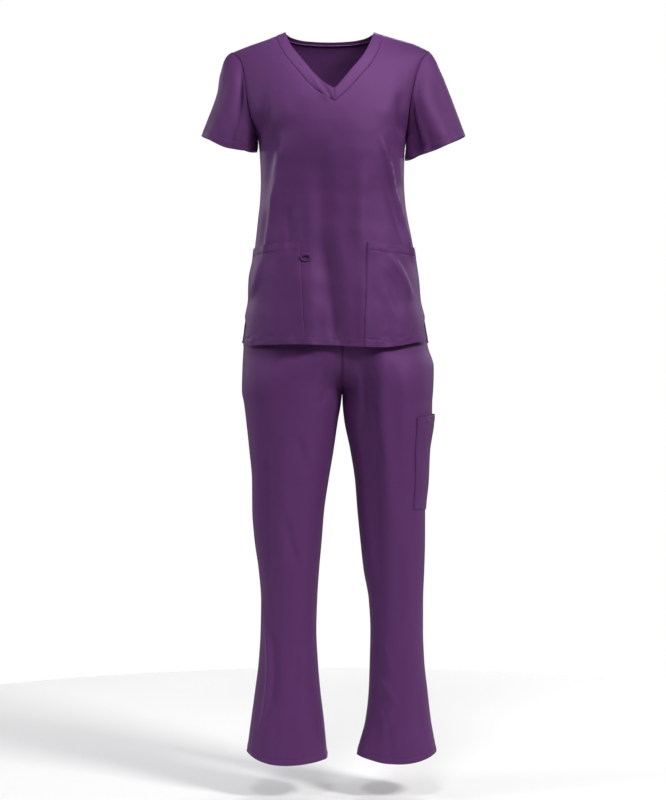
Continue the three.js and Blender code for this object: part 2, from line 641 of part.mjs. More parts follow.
// Point of a sleeve: angle 0 is the shoulder line, 90 degrees the front, 180 the underarm.
// The cloth leaves the armhole, bends once and runs to the cuff.
function sleevePoint(cut, outline, angle, along) {
  const side = cut.side;
  const edge = (side * Math.PI) / 2;
  const face = Math.sin(angle) >= 0 ? -1 : 1;
  const highest = columnTop(edge, shoulderZ);
  const z = lerp(UNDERARM, highest, (1 + Math.cos(angle)) / 2);
  const hole = torsoPoint(face, edge, z);
  hole.y -= (face * SEAM) / 2;
  hole.x += side * SLEEVE_GAP;
  const top = Math.max(0, Math.cos(angle)) ** 2;
  const under = Math.max(0, -Math.cos(angle)) ** 2;
  const flank = Math.sin(angle) ** 2;
  const bend = hole.clone().add(new THREE.Vector3(
    side * (top * cut.topX + flank * cut.sideX + under * UNDER_BEND.x),
    face * flank * cut.sideY,
    top * cut.topZ + flank * cut.sideZ + under * UNDER_BEND.z,
  ));
  const drop = face < 0 ? cut.frontDrop : cut.backDrop;
  const cuff = new THREE.Vector3(
    lerp(cut.innerX, cut.outerX, (1 + Math.cos(angle)) / 2),
    face * cut.halfDepth * Math.abs(Math.sin(angle)),
    lerp(cut.innerZ, cut.outerZ, (1 + Math.cos(angle)) / 2) - drop * flank,
  );
  const first = hole.multiplyScalar((1 - along) ** 2);
  const point = first.addScaledVector(bend, 2 * along * (1 - along)).addScaledVector(cuff, along ** 2);
  point.x += side * top * curve(outline, "at", "out", along);
  return point;
}

function sleeveSurface(name) {
  const cut = SLEEVE[name];
  const outline = SLEEVE_OUTLINE[name];
  const place = (u, v) => sleevePoint(cut, outline, cut.side * 2 * Math.PI * u, v);
  const height = (u, v) => {
    const degrees = THREE.MathUtils.radToDeg(cut.side * 2 * Math.PI * u);
    const angle = degrees > 180 ? degrees - 360 : degrees < -180 ? degrees + 360 : degrees;
    let sum = 0;
    for (const fold of SLEEVE_FOLDS[name]) {
      const fade = ramp(v, fold.from, fold.from + 0.3) * (1 - ramp(v, fold.to - 0.3, fold.to));
      sum += fold.height * fade * Math.exp(-0.5 * ((angle - fold.angle) / fold.width) ** 2);
    }
    return sum;
  };
  return raised(place, height);
}

for (const name of ["right", "left"]) {
  const sleeve = clothWall(sleeveSurface(name), steps(0, 1, 2 * ARM_ROWS), steps(0, 1, 8), CLOTH, true);
  addPiece(`sleeve_${name}`, sleeve, PURPLE);
}

// POCKETS OF THE TOP

const frontFacets = facets(topFront, frontColumns, panelRows);

// A patch on the front: its columns and rows are the panel's, up to its inner and top edges.
// The last stretch to the inner edge is divided further.
const INNER_CELLS = 3;
const POCKET_TOP_SHARE = 0.35; // v near the pocket's top edge
const POCKET_MARGIN = 0.006; // least width of the cells that the pocket adds
function addTopPocket(name, cut) {
  const level = (u, v) => {
    const hem = frontHem(torsoX((2 * u - 1) * (Math.PI / 2), HEM_X_LEVEL));
    return lerp(hem, UNDERARM, v / UNDER_SHARE);
  };
  const innerColumn = (v) => {
    const z = level(0.5, v);
    const share = (z - level(0.5, 0)) / (cut.topInner - level(0.5, 0));
    const x = lerp(cut.innerHemX, cut.innerTopX, share);
    return (torsoAngle(x, z) / frontEdgeAngle(z) + 1) / 2;
  };
  const topRow = (u) => {
    const ends = [innerColumn(POCKET_TOP_SHARE), cut.side < 0 ? 0 : 1];
    const share = clamp((u - ends[0]) / (ends[1] - ends[0]), 0, 1);
    const bow = cut.topMiddle - (cut.topInner + cut.topSide) / 2;
    const z = lerp(cut.topInner, cut.topSide, share) + 4 * bow * share * (1 - share);
    return (UNDER_SHARE * (z - level(u, 0))) / (UNDERARM - level(u, 0));
  };
  const reach = steps(0, POCKET_TOP_SHARE, 12).map(innerColumn);
  const columns = frontColumns.filter((u) =>
    cut.side < 0 ? u < Math.min(...reach) - POCKET_MARGIN : u > Math.max(...reach) + POCKET_MARGIN);
  const lowestTop = Math.min(topRow(0), topRow(0.5), topRow(1));
  const rows = panelRows.filter((v) => v < lowestTop - POCKET_MARGIN);
  const near = cut.side < 0 ? columns[columns.length - 1] : columns[0];
  const columnAt = (i, v) => {
    const past = cut.side < 0 ? i - columns.length + 1 : INNER_CELLS - i;
    if (past > 0) return lerp(near, innerColumn(v), past / INNER_CELLS);
    return columns[cut.side < 0 ? i : i - INNER_CELLS];
  };
  const skin = (height) => (i, j) => {
    const guess = columnAt(i, POCKET_TOP_SHARE);
    const v = j < rows.length ? rows[j] : topRow(guess);
    const u = columnAt(i, v);
    return frontFacets(u, v).addScaledVector(normalAt(topFront, u, v), height);
  };
  const lastColumn = columns.length - 1 + INNER_CELLS;
  const columnPlaces = steps(0, lastColumn, lastColumn);
  const rowPlaces = steps(0, rows.length, rows.length);
  addPiece(`pocket_${name}`, wallBetween(skin(LAY + CLOTH), skin(LAY), columnPlaces, rowPlaces), PURPLE);
}
addTopPocket("right", TOP_POCKET.right);
addTopPocket("left", TOP_POCKET.left);

// Badge loop: a flat ring of cord beside the right pocket's inner edge
const pocketEdge = lerp(TOP_POCKET.right.innerTopX, TOP_POCKET.right.innerHemX, BADGE_LOOP.pocketShare);
const loopX = pocketEdge + BADGE_LOOP.halfWidth + BADGE_LOOP.cord + 2 * SEAM;
const clothAt = (x) => torsoSkin(-1, torsoAngle(x, BADGE_LOOP.z), BADGE_LOOP.z, FOLDS.topFront);
const loopEnds = [clothAt(loopX - BADGE_LOOP.halfWidth), clothAt(loopX + BADGE_LOOP.halfWidth)];
const loopRing = new THREE.TorusGeometry(BADGE_LOOP.halfWidth, BADGE_LOOP.cord, 6, 18);
loopRing.deleteAttribute("normal");
loopRing.deleteAttribute("uv");
const loopGeometry = mergeVertices(loopRing, 1e-4);
loopGeometry.scale(1, BADGE_LOOP.halfHeight / BADGE_LOOP.halfWidth, 1);
loopGeometry.rotateX(Math.PI / 2);
loopGeometry.computeVertexNormals();
addPiece("badge_loop", loopGeometry, PURPLE);
const badgeLoop = group.getObjectByName("badge_loop");
badgeLoop.rotation.z = Math.atan2(loopEnds[1].y - loopEnds[0].y, loopEnds[1].x - loopEnds[0].x);
const clothY = (loopEnds[0].y + loopEnds[1].y) / 2;
badgeLoop.position.set(loopX, clothY - BADGE_LOOP.cord - BADGE_LOOP.clear, BADGE_LOOP.z);

// TROUSERS

// How far the centre seam stands off the crotch: 0 at the crotch and 1 above the rise
function centreRise(z) {
  const below = clamp((RISE_TOP - z) / (RISE_TOP - CROTCH), 0, 1);
  return (1 - below ** RISE_POWER) ** RISE_CLOSING;
}

// Point of a leg: turn 0 is its outer side, 90 degrees its front, 180 the inside and 270 the
// back. Below the crotch a section is an oval. Above, the oval grows past the centre plane,
// which cuts it where the centre seam lies, until it is half of the hip's ring.
function legPoint(name, turn, z) {
  const side = name === "right" ? -1 : 1;
  const outer = curve(LEG[name], "z", "outer", z);
  const inner = curve(LEG[name], "z", "inner", z) + (side * SEAM) / 2;
  const face = Math.sin(turn) >= 0 ? -1 : 1;
  const depth = curve(LEG[name], "z", face < 0 ? "front" : "back", z);
  const cut = (1 - centreRise(z) ** HIP_POWER) ** (1 / HIP_POWER);
  const half = (inner - outer) / (1 + cut);
  const last = Math.acos(-(cut ** (HIP_POWER / 2)));
  const angle = (Math.acos(Math.cos(turn)) * last) / Math.PI;
  const x = outer + half * (1 - signedPower(Math.cos(angle), 2 / HIP_POWER));
  return new THREE.Vector3(x, face * depth * Math.sin(angle) ** (2 / HIP_POWER), z);
}

// The same with folds, moved along the section's normal
function legSkin(name, turn, z, folds, fade) {
  const point = legPoint(name, turn, z);
  const step = 1e-4;
  const round = legPoint(name, turn + step, z).sub(legPoint(name, turn - step, z));
  const side = name === "right" ? -1 : 1;
  const normal = new THREE.Vector3(-round.y, round.x, 0).normalize().multiplyScalar(side);
  return point.addScaledVector(normal, foldHeight(folds, point.x, z) * fade);
}

// Height of a leg's hem round the leg
function legHem(name, turn) {
  const hem = LEG_HEM[name];
  const across = Math.sin(turn) ** 2;
  const low = Math.sin(turn) >= 0 ? hem.front : hem.back;
  return lerp(lerp(hem.inner, hem.outer, (1 + Math.cos(turn)) / 2), low, across);
}

const LEG_LEVEL = -1520; // level of an even hem, before its curve
const CROTCH_SHARE = 0.72; // v at the crotch
const LEG_TOP = WAIST_BOTTOM - SEAM;

// Level of a leg's grid: even below the crotch, closer just above it
function legLevel(name, turn, v) {
  if (v <= CROTCH_SHARE) {
    const level = lerp(LEG_LEVEL, CROTCH, v / CROTCH_SHARE);
    return level + (legHem(name, turn) - LEG_LEVEL) * (1 - ramp(level - LEG_LEVEL, 0, HEM_REACH));
  }
  const share = (v - CROTCH_SHARE) / (1 - CROTCH_SHARE);
  return lerp(CROTCH, LEG_TOP, 1 - Math.cos((share * Math.PI) / 2));
}

// How far the front panel is cut back at the side pocket's opening
function slashBack(z) {
  const middle = (SLASH.top + SLASH.bottom) / 2;
  const half = (SLASH.top - SLASH.bottom) / 2;
  const share = clamp(Math.abs(z - middle) / half, 0, 1);
  return SLASH.depth * (1 - share * share) ** 0.7;
}

// A panel of a leg as a surface: u goes round it, v upwards
function legPanel(name, face, folds) {
  const side = name === "right" ? -1 : 1;
  return (u, v) => {
    const share = side < 0 ? u : 1 - u;
    const roughLevel = legLevel(name, face < 0 ? Math.PI / 2 : 1.5 * Math.PI, v);
    const gap = SEAM / 2 / curve(LEG[name], "z", face < 0 ? "front" : "back", roughLevel);
    const seam = Math.PI - THREE.MathUtils.degToRad(curve(LEG[name], "z", "turn", roughLevel));
    const from = face < 0 ? gap + slashBack(roughLevel) : seam + gap;
    const to = face < 0 ? seam - gap : 2 * Math.PI - gap;
    const turn = lerp(from, to, share);
    const fade = 1 - Math.abs(2 * share - 1) ** 8;
    return legSkin(name, turn, legLevel(name, turn, v), folds, fade);
  };
}

const legRows = [...steps(0, CROTCH_SHARE, 20), ...steps(CROTCH_SHARE, 1, 11).slice(1)];
// Columns of a front panel lie closer at the side, where the pocket facing lies under it
const FRONT_SHARES = [0, 0.03, 0.065, 0.1, 0.14, 0.2, 0.28, 0.37, 0.47, 0.57, 0.67, 0.77, 0.86, 0.94, 1];
const sideFirst = (name) => (name === "right" ? FRONT_SHARES : FRONT_SHARES.map((u) => 1 - u).reverse());
const legFolds = {
  right: { front: FOLDS.rightFront, back: FOLDS.rightBack },
  left: { front: FOLDS.leftFront, back: FOLDS.leftBack },
};
for (const name of ["right", "left"]) {
  const front = legPanel(name, -1, legFolds[name].front);
  const back = legPanel(name, 1, legFolds[name].back);
  addPiece(`leg_front_${name}`, clothWall(front, sideFirst(name), legRows, CLOTH), LEG_PURPLE);
  addPiece(`leg_back_${name}`, clothWall(back, steps(0, 1, 11), legRows, CLOTH), LEG_PURPLE);
}

// Side pocket facing: a strip under the cut-back edge of the front panel
function slashFacing(name) {
  const side = name === "right" ? -1 : 1;
  return (u, v) => {
    const share = side < 0 ? u : 1 - u;
    const z = lerp(SLASH.bottom - SLASH.reach, SLASH.top + SLASH.reach, v);
    const turn = lerp(SLASH.start, SLASH.cover + slashBack(z), share);
    return legSkin(name, turn, z, legFolds[name].front, 0);
  };
}
for (const name of ["right", "left"]) {
  const strip = raised(slashFacing(name), -CLOTH - SLASH.sink);
  addPiece(`facing_${name}`, clothWall(strip, steps(0, 1, 5), steps(0, 1, 12), CLOTH), LEG_PURPLE);
}

// Waistband: a ring of the hip's form above the panels
function waistSurface(u, v) {
  const angle = 2 * Math.PI * u;
  const z = lerp(WAIST_BOTTOM, WAIST_TOP, v);
  const outer = curve(LEG[Math.cos(angle) >= 0 ? "left" : "right"], "z", "outer", z);
  const depth = curve(LEG.left, "z", Math.sin(angle) >= 0 ? "back" : "front", z);
  return new THREE.Vector3(
    CENTRE_X + Math.abs(outer - CENTRE_X) * signedPower(Math.cos(angle), 2 / HIP_POWER),
    depth * signedPower(Math.sin(angle), 2 / HIP_POWER),
    z,
  );
}
addPiece("waistband", clothWall(waistSurface, steps(0, 1, 40), [0, 1], WAIST_CLOTH, true), LEG_PURPLE);

// Cargo pocket: a patch over the side seam of the left leg, standing off a little at its top
const sideSeamShare = CARGO.frontAngle / (CARGO.frontAngle - CARGO.backAngle);
function cargoSurface(u, v) {
  const turn = lerp(CARGO.frontAngle, CARGO.backAngle, u);
  const share = clamp(u / sideSeamShare, 0, 1);
  const foot = lerp(CARGO.bottomFront, CARGO.bottomSide, share);
  const head = lerp(CARGO.topFront, CARGO.topSide, share);
  return legSkin("left", turn, lerp(foot, head, v), FOLDS.leftFront, 0);
}
const cargoHeight = (u, v) =>
  CARGO.lay + CLOTH + CARGO.standOff * ramp(v, CARGO.standFrom, 1) * Math.sin(Math.PI * u) ** 0.8;
const cargoColumns = [
  ...steps(0, sideSeamShare, CARGO.columnsFront),
  ...steps(sideSeamShare, 1, CARGO.columnsBack).slice(1),
];
addPiece(
  "cargo_pocket",
  clothWall(raised(cargoSurface, cargoHeight), cargoColumns, steps(0, 1, 9), CLOTH),
  LEG_PURPLE,
);

export default group;
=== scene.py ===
"""Medical scrubs: a V-neck top over pull-on trousers, in the hollow form of a worn set.

Every panel is a thin shell of cloth worked out as a function of two parameters, in millimetres,
and written to its mesh in metres. +Z is up, the front faces -Y and +X is the wearer's left.
"""
import math

import bpy
import numpy as np
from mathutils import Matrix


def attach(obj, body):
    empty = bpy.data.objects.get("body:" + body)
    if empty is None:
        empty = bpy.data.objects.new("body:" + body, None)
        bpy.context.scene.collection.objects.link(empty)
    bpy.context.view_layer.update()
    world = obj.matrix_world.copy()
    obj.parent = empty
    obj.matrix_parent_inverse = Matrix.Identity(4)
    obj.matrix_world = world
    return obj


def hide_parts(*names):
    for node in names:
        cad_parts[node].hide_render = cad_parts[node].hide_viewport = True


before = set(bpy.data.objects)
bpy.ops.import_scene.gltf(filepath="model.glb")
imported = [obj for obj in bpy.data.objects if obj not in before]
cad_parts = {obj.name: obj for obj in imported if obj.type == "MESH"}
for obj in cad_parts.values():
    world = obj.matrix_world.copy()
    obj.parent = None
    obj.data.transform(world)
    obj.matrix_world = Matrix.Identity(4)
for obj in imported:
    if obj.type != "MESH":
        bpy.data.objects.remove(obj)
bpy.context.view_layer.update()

bl_info = {
    "name": "Medical scrubs",
    "version": (1, 0, 0),
    "blender": (4, 5, 0),
    "location": "View3D > Sidebar > Scrubs",
    "description": "Builds a worn set of medical scrubs from its sewn pieces",
    "category": "Add Mesh",
}

MM = 0.001
QUARTER_TURN = math.pi / 2

# Measures of the top, in millimetres. WALL is the cloth of the source, and LEAST_SIDE the least side
# in metres that a sheet is given.

WALL = 1.3
LEAST_SIDE = 0.0102
UNDERARM = -228.0
RING_POWER = 2.3
ARM_MIDDLE = -125.0
ARM_DEPTH_FRONT = 56.0
ARM_DEPTH_BACK = 48.0
ARM_EDGE_RISE = 60.0
ARM_TUBE_POWER = 1.9
ARM_CURVE_POWER = 0.6
VENT_TOP = -580.0
VENT_FULL = -618.0
VENT_ANGLE = 0.3
BACK_HEM_SIDE = -651.0
BACK_HEM_MIDDLE = -656.0
BACK_HEM_X = 195.0
HEM_X_LEVEL = -628.0
SHOULDER_CALM = -90.0
# Share of a panel's rows that lie below the underarm, and of its edges that are open at the vents
UNDER_SHARE = 0.6
VENT_SHARE = 0.14
# Ripple of the cloth: its height and the length of its waves
TOP_RIPPLE = (0.35, 19)
SLEEVE_RIPPLE = (0.3, 17)
LEG_RIPPLE = (0.3, 21)

# Level, right edge, left edge, front depth, back depth
TORSO = np.array([
    (-670, -193, 202, 132, 129),
    (-645, -190, 199.5, 132, 128),
    (-603, -184.5, 192.5, 131, 124),
    (-561, -177, 182.5, 128, 120),
    (-519, -175.5, 179, 125, 114),
    (-477, -167.5, 172.5, 121, 107),
    (-435, -162, 165.5, 117, 100),
    (-393, -157.5, 157, 115, 94),
    (-351, -153.5, 151, 116, 91),
    (-309, -152, 149, 121, 93),
    (-256, -154, 150, 127, 100),
    (-228, -157, 153, 127, 104),
    (-206, -164, 155, 126, 106),
    (-182, -171, 157, 124, 107),
    (-156, -176, 160, 122, 108),
    (-125, -180, 166, 120, 108),
    (-96, -184, 173, 119, 106),
    (-66, -192, 184, 118, 103),
    (-42, -208, 196, 117, 100),
    (20, -210, 198, 116, 98),
])

# Shoulder line: x and height
SHOULDER = np.array([
    (-212, -42), (-174, -27.5), (-137, -15), (-100, 0), (-60, 12), (0, 16),
    (50, 12), (86, 0), (124, -11), (169, -23.5), (200, -38),
])

# Neck from the right shoulder to the left: station, edge x, edge z, seam x, seam z
NECK = np.array([
    (0, -100, 0, -120, -8.1),
    (1, -90, -32, -110, -41),
    (2, -72, -59.5, -91, -73),
    (3, -55, -82, -73, -96),
    (4, -35, -107, -51.5, -123.5),
    (5, -12, -127, -25, -146),
    (6, 2, -134.5, 4, -163.5),
    (7, 20.5, -116, 37, -131.5),
    (8, 39, -92, 57, -107),
    (9, 60, -65, 79, -78.5),
    (10, 75, -36, 95.5, -45),
    (11, 86, 0, 106.5, -5.93),
])
V_STATION = 6
BACK_NECK = np.array([
    (0, -100, 0, -108, -3.2),
    (1, -84, -6, -88, -12.5),
    (2, -49, -10, -50, -16.5),
    (3, -7, -11, -7, -17.5),
    (4, 32, -10, 33, -16.5),
    (5, 68, -6, 73, -12.5),
    (6, 86, 0, 94, -2.3),
])
FRONT_HEM = np.array([
    (-180, -659), (-110, -658), (-5, -660), (55, -663), (115, -664), (150, -661), (190, -652),
])

SLEEVES = {
    "right": dict(
        side=-1, outer_x=-276.5, outer_z=-216, inner_x=-159.5, inner_z=-250, half_depth=58, front_drop=17,
        back_drop=-2, top_x=22, top_z=-3, side_x=16, side_y=16, side_z=-46,
        outline=np.array([(0, 0), (0.25, 4.5), (0.5, 1), (0.73, -7), (1, 0)]),
    ),
    "left": dict(
        side=1, outer_x=277.5, outer_z=-217, inner_x=151.4, inner_z=-268, half_depth=56, front_drop=11,
        back_drop=-4, top_x=17, top_z=-6, side_x=14, side_y=15, side_z=-52,
        outline=np.array([(0, 0), (0.3, 3), (0.65, 1.5), (1, 0)]),
    ),
}

TOP_POCKETS = {
    "right": dict(side=-1, inner_top=-69.5, inner_hem=-57, inner=-449.5, middle=-452, outer=-458),
    "left": dict(side=1, inner_top=69, inner_hem=63, inner=-449.5, middle=-454.5, outer=-457),
}
# How high a pocket lies on the panel, and how far its top stands off
POCKET_LAY = 1.8
POCKET_STAND = 1.6
# The loop: its level, where it stands along the pocket's edge, its half sizes, its gaps to the
# pocket and the panel, and the sizes of its strip of cloth
BADGE_LOOP = dict(
    z=-481, share=0.15, half_width=9.5, half_height=6.8, cord=1.7, clear=1.9, beside=0.6, strip=2.0,
    swell=0.5, thick=1.1, tilt=0.4, spread_x=9, spread_z=7, columns=48, section=14,
)
# How far a sleeve runs on under the panels at the armhole
SLEEVE_UNDER = 2.5

# Rows of stitches: their distances from an edge
VENT_STITCH = 7
BAND_EDGE_GROOVE = 2.0
BAND_EDGE_STITCH = 1.8
BAND_SEAM_STITCH = 1.6
POCKET_HEM_STITCHES = (15, 17.6)
POCKET_EDGE_STITCHES = (1.4, 7)
SLASH_STITCHES = (1.6, 7.5)
WAIST_STITCHES = (10, 30)
FACING_STITCH = 6
CARGO_EDGE_STITCHES = (1.4, 6.4)
CARGO_HEM_STITCHES = (6, 13)
CARGO_HEM = 13.5

# A stitch of thread: its length, the pitch of its row, its width and height, and how deep its ends
# and its underside lie in the cloth
THREAD = dict(length=2.6, pitch=3.4, width=0.55, height=0.3, tip=0.05, root=0.1)

# Measures of the trousers

WAIST_TOP = -490.0
WAIST_BOTTOM = -530.0
CROTCH = -754.0
RISE_TOP = -640.0
RISE_POWER = 2.2
RISE_CLOSING = 0.62
CENTRE_X = 19.3
HIP_POWER = 2.1
LEG_LEVEL = -1520.0
CROTCH_SHARE = 0.72
HEM_REACH = 160.0
# Just above the crotch each leg runs past the centre by an overlap. It grows between the first two
# of these heights over the crotch and ends between the last two.
OVERLAP = 1.3
OVERLAP_HEIGHTS = (-5, 3, 16, 40)
# Waves that the elastic gathers in the waistband: their height as a share, their number, and the
# size and number of the waves that shift them
GATHER = dict(height=0.007, waves=118, shift=2, shift_waves=5)

# Level, outer x, inner x, front depth, back depth, turn of the seams to the front in degrees
LEGS = {
    "right": np.array([
        (-1540, -184, -10, 60, 77, 28),
        (-1506, -180.6, -12.9, 60, 77, 28),
        (-1443, -172.4, -18.8, 59, 76, 27),
        (-1380, -163.8, -26.4, 59, 75, 23),
        (-1317, -156, -31.8, 60, 75, 18),
        (-1254, -152.2, -34.8, 62, 76, 12),
        (-1191, -151.2, -33, 65, 78, 6),
        (-1128, -156, -29, 69, 80, 2),
        (-1065, -164.8, -23.3, 74, 83, 0),
        (-1002, -169.7, -18.2, 80, 86, 0),
        (-939, -170.2, -9, 86, 91, 0),
        (-876, -175.8, 1.5, 92, 96, 0),
        (-813, -182.5, 10.7, 98, 102, 0),
        (-777, -187, 17, 102, 108, 0),
        (-752, -191.3, CENTRE_X, 106, 114, 0),
        (-702, -190.5, CENTRE_X, 111, 117, 0),
        (-660, -188.4, CENTRE_X, 113, 115, 0),
        (-645, -187.6, CENTRE_X, 113, 114.5, 0),
        (-603, -180.5, CENTRE_X, 111, 111.6, 0),
        (-580, -173, CENTRE_X, 109, 111, 0),
        (-530, -157, CENTRE_X, 105, 103, 0),
        (-490, -150, CENTRE_X, 102, 97, 0),
    ]),
    "left": np.array([
        (-1540, 221, 46, 60, 77, 0),
        (-1506, 217, 51.4, 60, 77, 0),
        (-1443, 206, 67.8, 59, 76, 0),
        (-1380, 198.5, 74.8, 59, 75, 0),
        (-1317, 191.7, 77, 60, 75, 0),
        (-1254, 189.2, 78.3, 62, 76, 0),
        (-1191, 189.3, 75, 65, 78, 0),
        (-1128, 191.7, 64.2, 69, 80, 5),
        (-1065, 193.4, 57.2, 74, 83, 9),
        (-1002, 193.6, 51, 80, 86, 9),
        (-939, 199.2, 46, 86, 91, 6),
        (-876, 201.5, 36.1, 92, 96, 2),
        (-813, 208, 23.3, 98, 102, 0),
        (-777, 208.3, 19.8, 102, 108, 0),
        (-752, 210.2, CENTRE_X, 106, 114, 0),
        (-702, 211.8, CENTRE_X, 111, 117, 0),
        (-660, 200, CENTRE_X, 113, 115, 0),
        (-645, 197.2, CENTRE_X, 113, 114.5, 0),
        (-603, 188.5, CENTRE_X, 111, 111.6, 0),
        (-580, 181.5, CENTRE_X, 109, 111, 0),
        (-530, 167, CENTRE_X, 105, 103, 0),
        (-490, 160, CENTRE_X, 102, 97, 0),
    ]),
}
# Hem levels: outer, inner, front, back
LEG_HEMS = {"right": (-1506, -1520, -1527, -1512), "left": (-1506, -1513, -1524, -1510)}
SLASH = dict(top=-560, bottom=-738, depth=0.17, start=0.022, cover=0.2, reach=12, sink=0.8)
# Part of the outer edge of a front leg, as shares of it, that is stitched at the side pocket
SLASH_SHARES = (0.76, 0.96)
CARGO = dict(
    front=0.93, back=-0.8, top_front=-807, top_side=-800, bottom_front=-996, bottom_side=-1000,
    stand_off=3.2, stand_from=0.6, lay=0.8, slack=1.6,
)

# Folds. A line on the cloth from (x0, z0) to (x1, z1), its half width, its height (negative
# for a trough), how far its middle bows sideways, and how much its two sides differ in steepness.
# Those of the cargo pocket are given in shares of its width and height.

